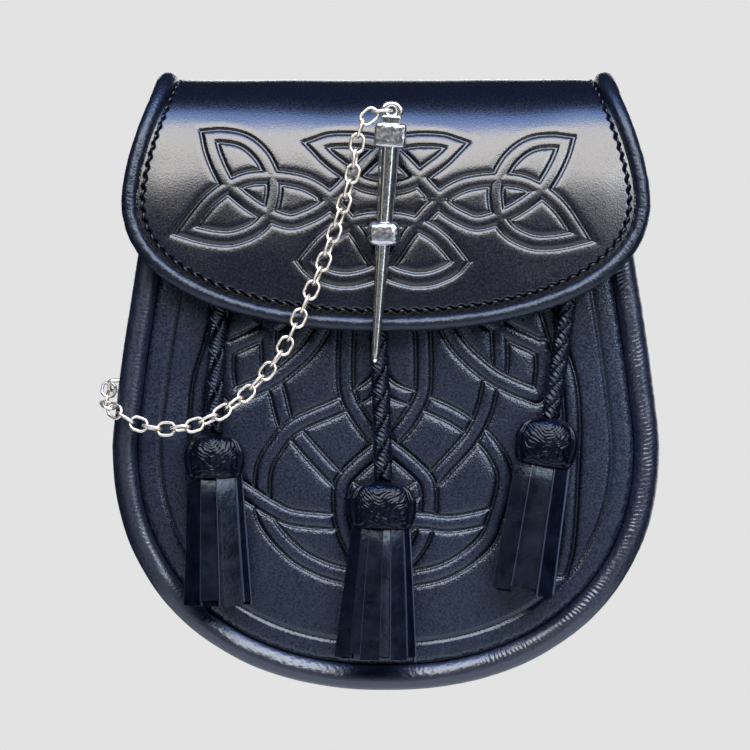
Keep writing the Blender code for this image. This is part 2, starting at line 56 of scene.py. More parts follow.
# ---------------------------------------------------------------- sizes that part.py has too

BODY_HALF_WIDTH = 90.0
WIDEST_HEIGHT = -86.0
BOTTOM_HEIGHT = -166.6
ROUNDNESS = 2.2
SHOULDER_DRAW_IN = 19.0
SHOULDER_RISE = 120.0
SHOULDER_POWER = 1.25
BACK_FACE_DEPTH = -2.8
BACK_TOP = 25.5
BACK_INSET = 2.5
GUSSET_INSET = 2.0
GUSSET_LEATHER = 2.0
GUSSET_TOP = 18.0
GUSSET_DEPTHS = (-5.3, -26.4)
BINDING_RADIUS = 4.25
BINDING_DEPTH = -31.0
BINDING_TOP = 12.0
PANEL_TOP = 10.0
PANEL_INSET = 8.6
PANEL_EDGE_DEPTH = -33.2
PANEL_DOME = 4.0
FLAP_HALF_WIDTH = 86.9
FLAP_WIDEST_HEIGHT = -5.6
FLAP_DROP = 43.3
FLAP_DRAW_IN = 11.15
FLAP_RISE = 38.7
FLAP_POWER = 1.6
FLAP_SIDE_RECESS = 5.5
FLAP_RECESS_FULL_DEPTH = -43.0
FLAP_PROFILE = (
    (-0.3, 23.0),
    (-0.3, 27.0),
    (-2.8, 31.4),
    (-8.0, 34.2),
    (-14.5, 34.8),
    (-24.0, 32.4),
    (-32.5, 26.6),
    (-39.0, 17.5),
    (-43.2, 5.5),
    (-45.6, -9.0),
    (-46.9, -27.0),
    (-47.2, -49.2),
)
FOLD_ROW = 4
LOOP_HALF_WIDTH = 46.0
LOOP_PROFILE = ((-0.3, 22.2), (-0.3, 17.4), (3.6, 15.0), (5.0, 12.4))
STAPLE_PLACE = (-0.8, -51.4, -16.9)
STAPLE_SIZE = (10.8, 9.0, 8.2)
STAPLE_ROUNDNESS = 3.7
POST_SIDE = 4.0
PLATE_SIDE = 12.0
PLATE_THICKNESS = 1.2
PIN_LEAN = math.radians(3.88)
PIN_HEAD_PLACE = (1.35, -51.4, 15.2)
PIN_HEAD_SIZE = (10.5, 8.2, 8.0)
PIN_HEAD_ROUNDNESS = 8.0
PIN_TAPER = ((2.0, 3.45), (24.0, 2.85), (40.0, 2.3), (72.0, 1.3), (73.6, 1.05), (74.2, 0.6))
EYE_HEIGHT = 8.2
EYE_RADIUS = 3.1
EYE_NECK_SIZE = (6.4, 2.4, 3.2)
EYE_NECK_HEIGHT = 4.8
EYE_HOLE_RADIUS = 1.15
EYE_THICKNESS = 2.0
LINK_LENGTH = 7.1
LINK_WIDTH = 5.2
LINK_WIRE = 0.88
LINK_COUNT = 35
LINK_PITCH = LINK_LENGTH - 2 * LINK_WIRE - GAP
CHAIN_ROUTE = (
    (1.9, -51.4, 23.4),
    (-5.4, -51.4, 22.4),
    (-9.0, -51.4, 15.5),
    (-10.6, -51.4, 4.0),
    (-14.4, -51.5, -9.0),
    (-20.0, -51.6, -25.0),
    (-26.5, -51.7, -40.0),
    (-33.6, -51.6, -54.5),
    (-43.4, -50.6, -67.0),
    (-54.0, -49.6, -75.4),
    (-64.0, -47.8, -79.8),
    (-74.0, -44.2, -80.6),
    (-82.0, -40.8, -78.8),
    (-88.2, -38.4, -75.2),
    (-91.8, -33.6, -72.8),
    (-91.8, -28.0, -70.4),
    (-91.2, -23.6, -66.0),
    (-91.0, -22.2, -59.0),
)
ANCHOR_WIRE_RADIUS = 0.7
ANCHOR_HALF_WIDTH = 2.6
ANCHOR_CORNER = 1.2
ANCHOR_FOOT_GAP = 0.5
CORD_ROUTES = {
    "left": (
        (-55.0, -38.4, -33.0),
        (-55.2, -38.4, -45.0),
        (-55.6, -39.3, -57.0),
        (-56.0, -41.4, -69.0),
        (-56.4, -42.4, -81.9),
    ),
    "centre": (
        (-2.6, -40.5, -44.0),
        (-2.2, -40.5, -56.0),
        (-1.6, -41.1, -70.0),
        (-1.2, -43.0, -84.0),
        (-1.0, -44.0, -97.4),
    ),
    "right": (
        (60.4, -38.0, -33.0),
        (58.9, -38.0, -44.0),
        (57.2, -38.9, -55.0),
        (55.5, -41.1, -66.0),
        (53.8, -42.2, -76.6),
    ),
}
KNOT_GAP = 0.6
# Each tassel: head half width, head length, skirt length, skirt half width at its top and bottom, lean
TASSELS = {
    "left": (9.5, 14.0, 41.6, 8.4, 10.7, math.radians(-1.5)),
    "centre": (10.8, 15.0, 42.6, 9.2, 13.2, math.radians(2.0)),
    "right": (10.0, 15.4, 42.0, 8.8, 10.2, math.radians(9.0)),
}
HEAD_HALF_DEPTH = 6.3
STRIP_STARTS_IN_HEAD = 2.5
SKIRT_HALF_DEPTHS = (4.6, 5.4)
STRIP_END_DROPS = (0.0, -1.4, 0.6, -0.7, 0.3, -1.0, 0.8, -0.4)

# ---------------------------------------------------------------- the photograph's frame

PHOTO_SIDE = 750
PIXEL = 0.32787  # millimetres of the pouch in one pixel
ORIGIN_PIXEL = (386.0, 183.0)
VIEW_DEPTH = -40.0  # the depth at which PIXEL holds
CAMERA_DISTANCE = 2400.0
SENSOR = 36.0


def on_front(rows):
    """Pixels of the photograph as (across, height)."""
    return [((u - ORIGIN_PIXEL[0]) * PIXEL, (ORIGIN_PIXEL[1] - v) * PIXEL) for u, v in rows]


# ---------------------------------------------------------------- the flap's knotwork, in pixels

FLAP_BAND = 3.3  # width of the raised band
FLAP_CHANNEL = 1.4
FLAP_CHANNEL_DEPTH = 0.6
FLAP_CROWN = 0.17
FLAP_SHOULDER = 2.0
KNOT_AXIS = 386.2  # the knot's middle at the height of its upper tips
KNOT_AXIS_TOP = 140.0
KNOT_LEAN = 0.028  # how far the middle moves left for each pixel down
TRIQUETRA = {
    "outer": (
        (209, 136.3), (222, 135.5), (240, 138.5), (254, 147), (266, 162), (274, 185), (270, 210),
        (262, 223), (250, 232), (232, 238), (215, 237.5), (199, 234.3), (186, 230.4),
    ),
    "falling": (
        (209, 136.3), (211.5, 148), (216, 161), (222, 174), (229.5, 186), (248, 202), (266, 213),
        (289.4, 221), (306.4, 216.5), (320, 209.5), (331.9, 199.8),
    ),
    "rising": (
        (186, 230.4), (195, 218), (206, 204), (217, 194), (229.5, 186), (250, 178), (275, 177), (300, 181),
        (316, 188), (331.9, 199.8),
    ),
}
CENTRE_STRANDS = {
    "upper_dip": (
        (316.2, 145), (329, 158.4), (344.5, 170.3), (355.1, 178.5), (367.7, 184.4), (386.2, 186.9),
        (404.7, 184.4), (417.3, 178.5), (427.9, 170.3), (443.3, 158.4), (456.2, 145),
    ),
    "over_top": (
        (316.2, 145), (329, 140.6), (343, 139.5), (357, 139.9), (375, 143), (390, 150), (400.5, 158),
        (416.6, 174.8), (428.6, 188.6), (440.5, 199.8),
    ),
    "under_bottom": (
        (440.5, 199.8), (428.6, 210.3), (418.7, 221.5), (408.9, 232.8), (400.5, 244.7), (392, 257.3),
        (382.2, 267.5), (372.4, 273.5), (360, 277.5), (348.6, 279.5), (335, 278.5), (322, 274), (312, 268),
        (306, 261),
    ),
    "lower_arch": (
        (306, 261), (317.5, 246.8), (329.5, 235.6), (342, 227.6), (355.5, 222), (369.5, 219.2),
        (383.5, 218.7), (397, 219.2), (411, 222), (424.3, 227.6), (437, 235.6), (448.6, 246.8),
        (459.5, 261),
    ),
}
RIGHT_TURN = (0.03, 0.045)  # how the right triquetra is turned about the place where it joins
RIGHT_JOIN = (441.0, 200.0)

# ---------------------------------------------------------------- the front panel's knotwork, in pixels

PANEL_BAND = 3.8
PANEL_CHANNEL = 1.3
PANEL_CHANNEL_DEPTH = 0.74
PANEL_CROWN = 0.42
PANEL_SHOULDER = 3.0  # how far outside its groove the leather is drawn down
PANEL_AXIS = 385.0
CROSSING_REACH = 8.0
BORDER_INSET = 7.0  # the border channel's middle, inside the panel's edge
BORDER_HALF_WIDTH = 1.15
BORDER_DEPTH = 0.62
KNOTWORK_START = (6.4, 7.2)  # how far inside the panel's sides the knotwork starts and is full
PANEL_HALVES = {  # strands that the other side has mirrored
    "vee": (
        (420, 305), (423, 335), (424, 370), (422, 395), (412, 415), (398, 433), (380, 448), (358, 466),
        (343, 483), (341, 505), (344, 528), (356, 552), (380, 575),
    ),
    "elbow": ((436, 300), (448, 328), (463, 350), (490, 374), (512, 386), (537, 396)),
    "side_loop": (
        (548, 308), (560, 350), (570, 385), (573, 430), (571, 480), (569, 520), (566, 550), (561, 570),
    ),
    "upper_arc": ((470, 305), (492, 322), (514, 335), (540, 348), (556, 366)),
    "outer_post": ((543, 346), (544, 370), (541, 392)),
    "inner_post": ((498, 300), (500, 340), (500, 368), (492, 376)),
}
PANEL_STRANDS = {
    "dee": (
        (492, 376), (491, 384), (484, 412), (471, 438), (447, 465), (432, 480), (400, 500), (385, 506),
        (370, 500), (338, 480), (293, 431), (285, 422), (278, 395), (272, 375), (268, 340), (266, 305),
    ),
    "ring": (
        (380, 380), (394, 391), (418, 400), (450, 414), (470, 427), (487, 441), (499, 458), (505, 475),
        (503, 495), (497, 515), (487, 540), (465, 560), (440, 573), (411, 579), (380, 581), (337, 574),
        (313, 565), (295, 554), (276, 535), (264, 515), (262, 490), (265, 465), (276, 446), (288, 431),
        (304, 421), (339, 406), (362, 394), (380, 380),
    ),
    "sash": (
        (228, 480), (250, 495), (272, 509), (293, 518), (333, 522), (380, 524), (418, 521), (450, 524),
        (485, 518), (505, 510), (528, 495),
    ),
}
CROSSINGS = (  # place, the strand on top
    ((422, 396), "vee_right"),
    ((347, 402), "vee_left"),
    ((478, 432), "dee"),
    ((287, 425), "ring"),
    ((430, 478), "vee_left"),
    ((341, 485), "vee_right"),
    ((490, 375), "elbow_right"),
    ((279, 376), "elbow_left"),
    ((264, 505), "sash"),
    ((503, 510), "ring"),
    ((343, 522), "vee_right"),
    ((430, 522), "sash"),
    ((366, 563), "ring"),
    ((404, 563), "ring"),
    ((385, 444), "vee_left"),
)

# ---------------------------------------------------------------- curves and distances


def smooth_route(points, steps=12):
    """Points along a smooth curve through the given ones, as in part.py."""
    given = [Vector(point) for point in points]
    ends = [2 * given[0] - given[1], *given, 2 * given[-1] - given[-2]]
    route = []
    for before, start, end, after in zip(ends, ends[1:], ends[2:], ends[3:]):
        for step in range(steps):
            t = step / steps
            bend = (2 * before - 5 * start + 4 * end - after) * t**2
            twist = (3 * start - before - 3 * end + after) * t**3
            route.append(0.5 * (2 * start + (end - before) * t + bend + twist))
    return [*route, given[-1]]


def walk(route, distance):
    """The point at that distance along a route."""
    for start, end in zip(route, route[1:]):
        step = (end - start).length
        if distance <= step:
            return start.lerp(end, distance / step)
        distance -= step
    return route[-1]


def lengths_along(points):
    """Each point's distance along a line."""
    steps = np.linalg.norm(np.diff(points, axis=0), axis=1)
    return np.concatenate(([0.0], np.cumsum(steps)))


def looked_up(places, reach, rows):
    """Rows that are known along a reach, at other places on it."""
    return np.column_stack([np.interp(places, reach, column) for column in np.asarray(rows, float).T])


def resampled(points, spacing):
    """The same line with its points evenly spaced."""
    points = np.asarray([tuple(point) for point in points], float)
    reach = lengths_along(points)
    count = max(2, round(reach[-1] / spacing) + 1)
    return looked_up(np.linspace(0.0, reach[-1], count), reach, points)


def smoothstep(low, high, value):
    """Rises softly from 0 at low to 1 at high."""
    t = np.clip((value - low) / (high - low), 0.0, 1.0)
    return t * t * (3 - 2 * t)


def ripple(x, y, pitch, seed):
    """A soft random swell over two coordinates, from -1 to 1, with hills about a pitch apart."""
    draw = np.random.default_rng(SEED + seed)
    total = np.zeros(np.broadcast(x, y).shape)
    waves = 7
    for _ in range(waves):
        turn = draw.uniform(0, math.tau)
        rate = math.tau / (pitch * draw.uniform(0.7, 1.6))
        total += np.sin(rate * (x * math.cos(turn) + y * math.sin(turn)) + draw.uniform(0, math.tau))
    return total / math.sqrt(waves * 2)


def nearest(points, samples):
    """For each point the distance to the nearest sample, and that sample's index."""
    tree = kdtree.KDTree(len(samples))
    for i, sample in enumerate(samples):
        tree.insert((sample[0], sample[1], 0.0), i)
    tree.balance()
    found = [tree.find((x, y, 0.0)) for x, y in points]
    return np.array([hit[2] for hit in found]), np.array([hit[1] for hit in found])


# ---------------------------------------------------------------- meshes


def add_mesh(name, points, faces, material, smooth=True):
    """An object from points in millimetres, with its faces turned outwards."""
    mesh = bpy.data.meshes.new(name)
    mesh.from_pydata((np.asarray(points, float) * MM).tolist(), [], faces)
    shape = bmesh.new()
    shape.from_mesh(mesh)
    bmesh.ops.recalc_face_normals(shape, faces=shape.faces)
    shape.to_mesh(mesh)
    shape.free()
    mesh.materials.append(material)
    if smooth:
        mesh.shade_smooth()
    return add_object(name, mesh)


def add_object(name, data):
    """An object in the scene, from a mesh, a light or a camera."""
    obj = bpy.data.objects.new(name, data)
    bpy.context.scene.collection.objects.link(obj)
    return obj


def dress(obj, slot, *nodes):
    """Lets a piece ride on the pouch and stand for its nodes, which are hidden. slot is not used."""
    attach(obj, "root")
    if nodes:
        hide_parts(*nodes)
    return obj


def ring_faces(rows, columns):
    """Quads between rows of points that each close on themselves, with a cap on each end."""
    faces = []
    for row in range(rows - 1):
        for i in range(columns):
            a = row * columns + i
            b = row * columns + (i + 1) % columns
            faces.append((a, b, b + columns, a + columns))
    faces.append(tuple(range(columns)))
    faces.append(tuple(range((rows - 1) * columns, rows * columns)))
    return faces


def loft(name, rings, material, smooth=True):
    """A closed piece through rings of points, an array of rows, columns and 3."""
    return joined_lofts(name, [rings], material, smooth)


def joined_lofts(name, stacks, material, smooth=True):
    """Several closed stacks of rings in one mesh."""
    points, faces = [], []
    for rings in stacks:
        rows, columns, _ = rings.shape
        start = len(points)
        points.extend(rings.reshape(-1, 3).tolist())
        faces.extend(tuple(start + i for i in face) for face in ring_faces(rows, columns))
    return add_mesh(name, points, faces, material, smooth)


def unit(rows):
    """Directions of length 1."""
    return rows / np.maximum(np.linalg.norm(rows, axis=-1, keepdims=True), 1e-9)


def frames_along(line, towards):
    """Directions along a line, beside it and out of it. The last ones keep near to towards."""
    along = unit(np.gradient(line, axis=0))
    towards = np.broadcast_to(np.asarray(towards, float), line.shape)
    out = unit(towards - along * np.sum(towards * along, axis=1, keepdims=True))
    return along, np.cross(along, out), out


def circle(count):
    """Evenly spaced turns round a circle."""
    return np.arange(count) * math.tau / count


def tube_rings(line, towards, sides, radius):
    """Rings round a line. radius is a number or a function of the distance along and the turn round."""
    _, beside, out = frames_along(line, towards)
    turn = circle(sides)
    if callable(radius):
        size = radius(lengths_along(line)[:, None], turn[None, :])
    else:
        size = np.full((len(line), sides), radius)
    cos, sin = np.cos(turn)[None, :, None], np.sin(turn)[None, :, None]
    return line[:, None, :] + (cos * out[:, None, :] + sin * beside[:, None, :]) * size[:, :, None]


def lattice(low, high, spacing):
    """Points in a triangular pattern over a box."""
    across = np.arange(low[0], high[0], spacing)
    grid = []
    for i, row in enumerate(np.arange(low[1], high[1], spacing * math.sqrt(0.75))):
        grid.append(np.column_stack((across + (i % 2) * spacing / 2, np.full(len(across), row))))
    return np.concatenate(grid)


def upright(flat, depth):
    """Flat points (across, height) in space, at one depth or at a depth for each."""
    return np.column_stack((flat[:, 0], np.broadcast_to(depth, len(flat)), flat[:, 1]))


def inside_span(points, rows, half_widths, margin):
    """Which points lie within the half width that holds at their second coordinate."""
    limit = np.interp(points[:, 1], rows, half_widths, left=0.0, right=0.0)
    return np.abs(points[:, 0]) < limit - margin


def triangulated(points, rim_length, hole_length=0):
    """Triangles over points. The first ones are the closed rim, and the next ones, if any, a hole's rim."""
    rim = list(range(rim_length))
    hole = [(rim_length + i, rim_length + (i + 1) % hole_length) for i in range(hole_length)]
    rows = [Vector(point) for point in points.tolist()]
    verts, _, faces, origins, _, _ = delaunay_2d_cdt(rows, hole, [rim], 1, 1e-6)
    place = {}
    for index, origin in enumerate(origins):
        for i in origin:
            place[i] = index
    flat = np.array([tuple(vert) for vert in verts])
    return flat, [tuple(face) for face in faces], [place[i] for i in range(rim_length + hole_length)]


def leather_sheet(name, outer, back, loops, material, relief=None):
    """A closed leather from two triangulated faces whose rims have the same number of points."""
    front_points, front_faces, front_rim = outer
    back_points, back_faces, back_rim = back
    start = len(front_points)
    faces = list(front_faces) + [tuple(start + i for i in reversed(face)) for face in back_faces]
    first = 0
    for length in loops:
        for i in range(length):
            j = (i + 1) % length
            a, b = front_rim[first + i], front_rim[first + j]
            c, d = start + back_rim[first + j], start + back_rim[first + i]
            faces.append((a, d, c, b))
        first += length
    obj = add_mesh(name, np.concatenate((front_points, back_points)), faces, material)
    # The relief is kept for the leather's painted shade in its grooves.
    if relief is not None:
        store(obj, "relief", np.concatenate((relief, np.zeros(len(back_points)))))
    return obj


def store(obj, name, values):
    """Keeps a number for each point of a mesh, which a material can read."""
    attribute = obj.data.attributes.new(name, "FLOAT", "POINT")
    attribute.data.foreach_set("value", np.asarray(values, np.float32))


def stitches(name, line, outs, material, length, radius, slant=0.0, lift=0.25):
    """Threads along a line, each a small bow whose ends dive into the leather."""
    reach = lengths_along(line)
    places = (np.arange(int(reach[-1] / STITCH_PITCH)) + 0.5) * STITCH_PITCH
    centres = looked_up(places, reach, line)
    directions = unit(looked_up(places, reach, frames_along(line, outs)[0]))
    outs = unit(looked_up(places, reach, np.broadcast_to(outs, line.shape)))
    steps = np.linspace(-1.0, 1.0, 7)[:, None]
    sizes = radius * np.sqrt(np.clip(1.08 - steps**4, 0.05, 1.0))
    heights = lift - (lift + radius) * steps**2
    stacks = []
    for centre, direction, out in zip(centres, directions, outs):
        heading = unit(direction * math.cos(slant) + np.cross(direction, out) * math.sin(slant))
        bow = centre + steps * heading * length / 2 + heights * out
        stacks.append(tube_rings(bow, out, 7, lambda _, turn: sizes + 0 * turn))
    return joined_lofts(name, stacks, material)


# ---------------------------------------------------------------- materials

NEUTRAL_GLINT = (1.0, 1.0, 1.0)
BLUE_GLINT = (0.74, 0.86, 1.0)
PALE_GLINT = (0.82, 0.90, 1.0)
# A leather with relief gets painted shade in its grooves and seam, from the relief that its mesh keeps.
BLACK_LEATHERS = {
    "flap": {
        "dark": (0.0005, 0.0010, 0.0040), "light": (0.0022, 0.0034, 0.0090), "roughness": 0.24,
        "grain": 0.55, "grain_depth": 0.03, "specular": 0.55, "glint": NEUTRAL_GLINT, "relief": True,
    },
    "panel": {
        "dark": (0.0006, 0.0012, 0.0038), "light": (0.0124, 0.0164, 0.0335), "roughness": 0.27,
        "grain": 0.6, "grain_depth": 0.1, "specular": 0.46, "glint": BLUE_GLINT, "relief": True,
    },
    "plain": {
        "dark": (0.0016, 0.0022, 0.0050), "light": (0.0050, 0.0064, 0.0110), "roughness": 0.38,
        "grain": 1.0, "grain_depth": 0.09, "specular": 0.5, "glint": NEUTRAL_GLINT,
    },
    "binding": {
        "dark": (0.0010, 0.0018, 0.0058), "light": (0.0080, 0.0106, 0.0245), "roughness": 0.33,
        "grain": 0.7, "grain_depth": 0.07, "specular": 0.7, "glint": PALE_GLINT,
    },
    "piping": {
        "dark": (0.0007, 0.0013, 0.0042), "light": (0.0038, 0.0056, 0.0132), "roughness": 0.33,
        "grain": 0.7, "grain_depth": 0.1, "specular": 0.38, "glint": BLUE_GLINT,
    },
}
# The lighter colour of the strips' cut edges is partly the raw edge and partly a painted highlight.
STRIP_LEATHERS = {
    "strips": {
        "dark": (0.0005, 0.0009, 0.0030), "light": (0.0022, 0.0033, 0.0084),
        "cut_and_highlight_colour": (0.022, 0.031, 0.05), "gloss": 0.25, "specular": 0.27, "wave": 0.35,
    },
    "knots": {
        "dark": (0.0005, 0.0009, 0.0028), "light": (0.0014, 0.0022, 0.0060),
        "cut_and_highlight_colour": (0.003, 0.004, 0.008), "gloss": 0.2, "specular": 0.17, "wave": 0.3,
    },
}
METALS = {
    "polished_plate": {"colour": (0.62, 0.61, 0.6), "roughness": 0.19, "scratches": 900.0, "depth": 0.05},
    "satin_plate": {"colour": (0.42, 0.42, 0.44), "roughness": 0.245, "scratches": 700.0, "depth": 0.09},
    "bright_wire": {"colour": (0.72, 0.65, 0.55), "roughness": 0.38, "scratches": 1600.0, "depth": 0.02},
}
THREAD_DARK, THREAD_LIGHT = (0.002, 0.003, 0.006), (0.008, 0.010, 0.018)


class Finish:
    """A material's nodes, with short calls for what the finishes share."""

    def __init__(self, name):
        self.material = bpy.data.materials.new(name)
        self.material.use_nodes = True
        self.nodes = self.material.node_tree.nodes
        self.links = self.material.node_tree.links
        self.shader = self.nodes["Principled BSDF"]
        self.place = self.nodes.new("ShaderNodeTexCoord").outputs["Object"]

    def feed(self, name, value):
        """Gives one of the shader's sockets an output, a colour or a number."""
        socket = self.shader.inputs[name]
        if isinstance(value, bpy.types.NodeSocket):
            self.links.new(value, socket)
        elif isinstance(value, tuple):
            socket.default_value = (*value, 1.0)
        else:
            socket.default_value = value

    def noise(self, scale, detail=2.0, roughness=0.5):
        node = self.nodes.new("ShaderNodeTexNoise")
        node.inputs["Scale"].default_value = scale
        node.inputs["Detail"].default_value = detail
        node.inputs["Roughness"].default_value = roughness
        self.links.new(self.place, node.inputs["Vector"])
        return node.outputs["Fac"]

    def cells(self, scale):
        node = self.nodes.new("ShaderNodeTexVoronoi")
        node.feature = "SMOOTH_F1"
        node.inputs["Scale"].default_value = scale
        node.inputs["Smoothness"].default_value = 0.6
        self.links.new(self.place, node.inputs["Vector"])
        return node.outputs["Distance"]

    def stored(self, name):
        """A number that the mesh keeps for each of its points."""
        node = self.nodes.new("ShaderNodeAttribute")
        node.attribute_name = name
        return node.outputs["Fac"]

    def spread(self, value, span, result=(0.0, 1.0)):
        """A value's range moved onto another one."""
        node = self.nodes.new("ShaderNodeMapRange")
        for name, number in zip(("From Min", "From Max", "To Min", "To Max"), (*span, *result)):
            node.inputs[name].default_value = number
        self.links.new(value, node.inputs["Value"])
        return node.outputs["Result"]

    def mixed(self, share, first, second):
        """Two colours mixed by a share."""
        node = self.nodes.new("ShaderNodeMix")
        node.data_type = "RGBA"
        self.links.new(share, node.inputs["Factor"])
        for socket, colour in ((node.inputs["A"], first), (node.inputs["B"], second)):
            if isinstance(colour, tuple):
                socket.default_value = (*colour, 1.0)
            else:
                self.links.new(colour, socket)
        return node.outputs["Result"]

    def bump(self, height, distance, strength, under=None):
        node = self.nodes.new("ShaderNodeBump")
        node.inputs["Strength"].default_value = strength
        node.inputs["Distance"].default_value = distance * MM
        self.links.new(height, node.inputs["Height"])
        if under is not None:
            self.links.new(under, node.inputs["Normal"])
        return node.outputs["Normal"]


def shaded(colour, share):
    """A colour made darker."""
    return tuple(share * part for part in colour)


def leather(name, dark, light, roughness, grain, grain_depth, specular, glint, relief=False):
    """Black leather: pebbled grain over fine creases, with a slight change of colour and gloss, and painted
    shade in its pressed grooves and seam where it has relief.
    """
    finish = Finish(name)
    pebble_scale, crease_scale, mottle_scale = 1000.0, 900.0, 45.0
    pebbles = finish.cells(pebble_scale / grain)
    fine = finish.noise(crease_scale / grain, 3.0, 0.65)
    broad = finish.noise(mottle_scale, 3.0, 0.55)
    colour = finish.mixed(finish.spread(fine, (0.32, 0.7)), dark, light)
    colour = finish.mixed(finish.spread(broad, (0.4, 0.75), (0.0, 0.4)), colour, dark)
    # Painted shade: the colour darkens where the stored relief sinks into a groove or the seam.
    if relief:
        depth = finish.spread(finish.stored("relief"), (-0.7, -0.1), (0.85, 0.0))
        colour = finish.mixed(depth, colour, shaded(dark, 0.35))
    finish.feed("Base Color", colour)
    finish.feed("Roughness", finish.spread(fine, (0.3, 0.7), (roughness - 0.05, roughness + 0.07)))
    finish.feed("Specular IOR Level", specular)
    finish.feed("Specular Tint", glint)
    creases = finish.bump(fine, grain_depth * 0.6, 0.6)
    finish.feed("Normal", finish.bump(pebbles, grain_depth, 0.8, under=creases))
    return finish.material


def strip_leather(name, dark, light, cut_and_highlight_colour, gloss, specular, wave):
    """Smooth satin leather, a little wavy, and lighter at its cut edges: partly the raw edge and partly a
    painted highlight.
    """
    finish = Finish(name)
    crease_scale, wave_scale = 900.0, 150.0
    fine = finish.noise(crease_scale, 3.0, 0.6)
    broad = finish.noise(wave_scale, 4.0, 0.6)
    colour = finish.mixed(finish.spread(broad, (0.35, 0.7)), dark, light)
    # Cut edges take a lighter colour: partly the raw edge, partly a painted highlight.
    colour = finish.mixed(finish.spread(finish.stored("cut"), (0.3, 0.9)), colour, cut_and_highlight_colour)
    finish.feed("Base Color", colour)
    finish.feed("Roughness", finish.spread(broad, (0.3, 0.7), (gloss - 0.06, gloss + 0.06)))
    finish.feed("Specular IOR Level", specular)
    finish.feed("Specular Tint", BLUE_GLINT)
    finish.feed("Normal", finish.bump(fine, 0.05, 0.7, under=finish.bump(broad, wave, 0.8)))
    return finish.material


def metal(name, colour, roughness, scratches, depth):
    """Plated metal with fine marks."""
    finish = Finish(name)
    marks = finish.noise(scratches, 4.0, 0.65)
    broad = finish.spread(finish.noise(130.0), (0.4, 0.75), (0.0, 0.5))
    finish.feed("Base Color", finish.mixed(broad, colour, shaded(colour, 0.72)))
    finish.feed("Metallic", 1.0)
    finish.feed("Roughness", finish.spread(marks, (0.3, 0.7), (roughness * 0.7, roughness * 1.4)))
    finish.feed("Normal", finish.bump(marks, depth, 0.5))
    return finish.material


def waxed_thread():
    """Dark twisted thread."""
    finish = Finish("waxed_thread")
    twist = finish.noise(3200.0)
    finish.feed("Base Color", finish.mixed(twist, THREAD_DARK, THREAD_LIGHT))
    finish.feed("Roughness", 0.42)
    finish.feed("Normal", finish.bump(twist, 0.06, 0.8))
    return finish.material


# ---------------------------------------------------------------- the pocket's outline


def body_half_width(height):
    """Half the pocket's width at a height."""
    if height < WIDEST_HEIGHT:
        down = min(1.0, (WIDEST_HEIGHT - height) / (WIDEST_HEIGHT - BOTTOM_HEIGHT))
        return BODY_HALF_WIDTH * (1 - down**ROUNDNESS) ** (1 / ROUNDNESS)
    rise = (height - WIDEST_HEIGHT) / SHOULDER_RISE
    return BODY_HALF_WIDTH - SHOULDER_DRAW_IN * rise**SHOULDER_POWER


def body_outline(inset, top, spacing):
    """(across, height) from the top left, round the bottom, up to the top right, moved in by inset."""
    steps = 400
    left = [(-body_half_width(h), h) for h in np.linspace(top + 4, WIDEST_HEIGHT, 200)[:-1]]
    bottom = []
    for i in range(steps + 1):
        turn = math.pi * i / steps
        across = abs(math.cos(turn)) ** (2 / ROUNDNESS) * BODY_HALF_WIDTH
        down = abs(math.sin(turn)) ** (2 / ROUNDNESS) * (WIDEST_HEIGHT - BOTTOM_HEIGHT)
        bottom.append((math.copysign(across, -math.cos(turn)), WIDEST_HEIGHT - down))
    right = [(-across, height) for across, height in reversed(left)]
    line = resampled(left + bottom + right, 0.25)
    along = unit(np.gradient(line, axis=0))
    moved = line + inset * np.column_stack((-along[:, 1], along[:, 0]))
    return resampled(moved[moved[:, 1] <= top], spacing)


def panel_depth(across, height):
    """The depth of the front panel's outer face, for arrays."""
    across, height = np.broadcast_arrays(np.asarray(across, float), np.asarray(height, float))
    half = np.array([body_half_width(h) for h in height.ravel()]).reshape(height.shape)
    edge = np.maximum(1.0, half - PANEL_INSET)
    sideways = 1 - np.minimum(1.0, np.abs(across) / edge) ** 2
    reach = WIDEST_HEIGHT - BOTTOM_HEIGHT - PANEL_INSET
    down = np.clip((WIDEST_HEIGHT - height) / reach, 0.0, 1.0)
    return PANEL_EDGE_DEPTH - PANEL_DOME * sideways * (1 - down**2)


class PocketSheet:
    """A flat leather of the pocket: its sides with its bottom, its whole rim, and the area inside."""

    def __init__(self, inset, top, spacing, side_margin, top_margin):
        self.sides = body_outline(inset, top, spacing)
        top_line = resampled([self.sides[-1], self.sides[0]], spacing)[1:-1]
        self.rim = np.concatenate((self.sides, top_line))
        left = self.sides[: len(self.sides) // 2 + 1][::-1]

        def within(points):
            below = points[:, 1] < top - top_margin
            return below & inside_span(points, left[:, 1], -left[:, 0], side_margin)

        self.area = ((-BODY_HALF_WIDTH, BOTTOM_HEIGHT), (BODY_HALF_WIDTH, top), within)

    def closed_rim(self, spacing):
        """The rim with evenly spaced points, back to its start."""
        return resampled(np.concatenate((self.rim, self.rim[:1])), spacing)


# ---------------------------------------------------------------- pressed knotwork

LINE_STEP = 0.1  # between the points of a band's centre line
TIP_POINTS = 12  # centre line points over which the direction of a band's end is taken
TIP_GAP = 0.4  # two ends that are nearer than this form a tip
TIP_REACH = 9.0
GROOVE_WALL = 0.38  # how far a groove's soft walls reach beyond its channel on both sides
BAND_SURROUND = 3.2  # how far beyond a band's channel the sheet's points stay fairly close
SHOULDER_SHARE = 0.8  # of the crown, how far the leather beside a groove is drawn down
SNAP_SHARE = 0.36  # of a lattice's spacing, how near to a bend of the relief a point is moved onto it
CLEAR_SHARE = 0.6  # of a lattice's spacing, how far its points keep from closer ones


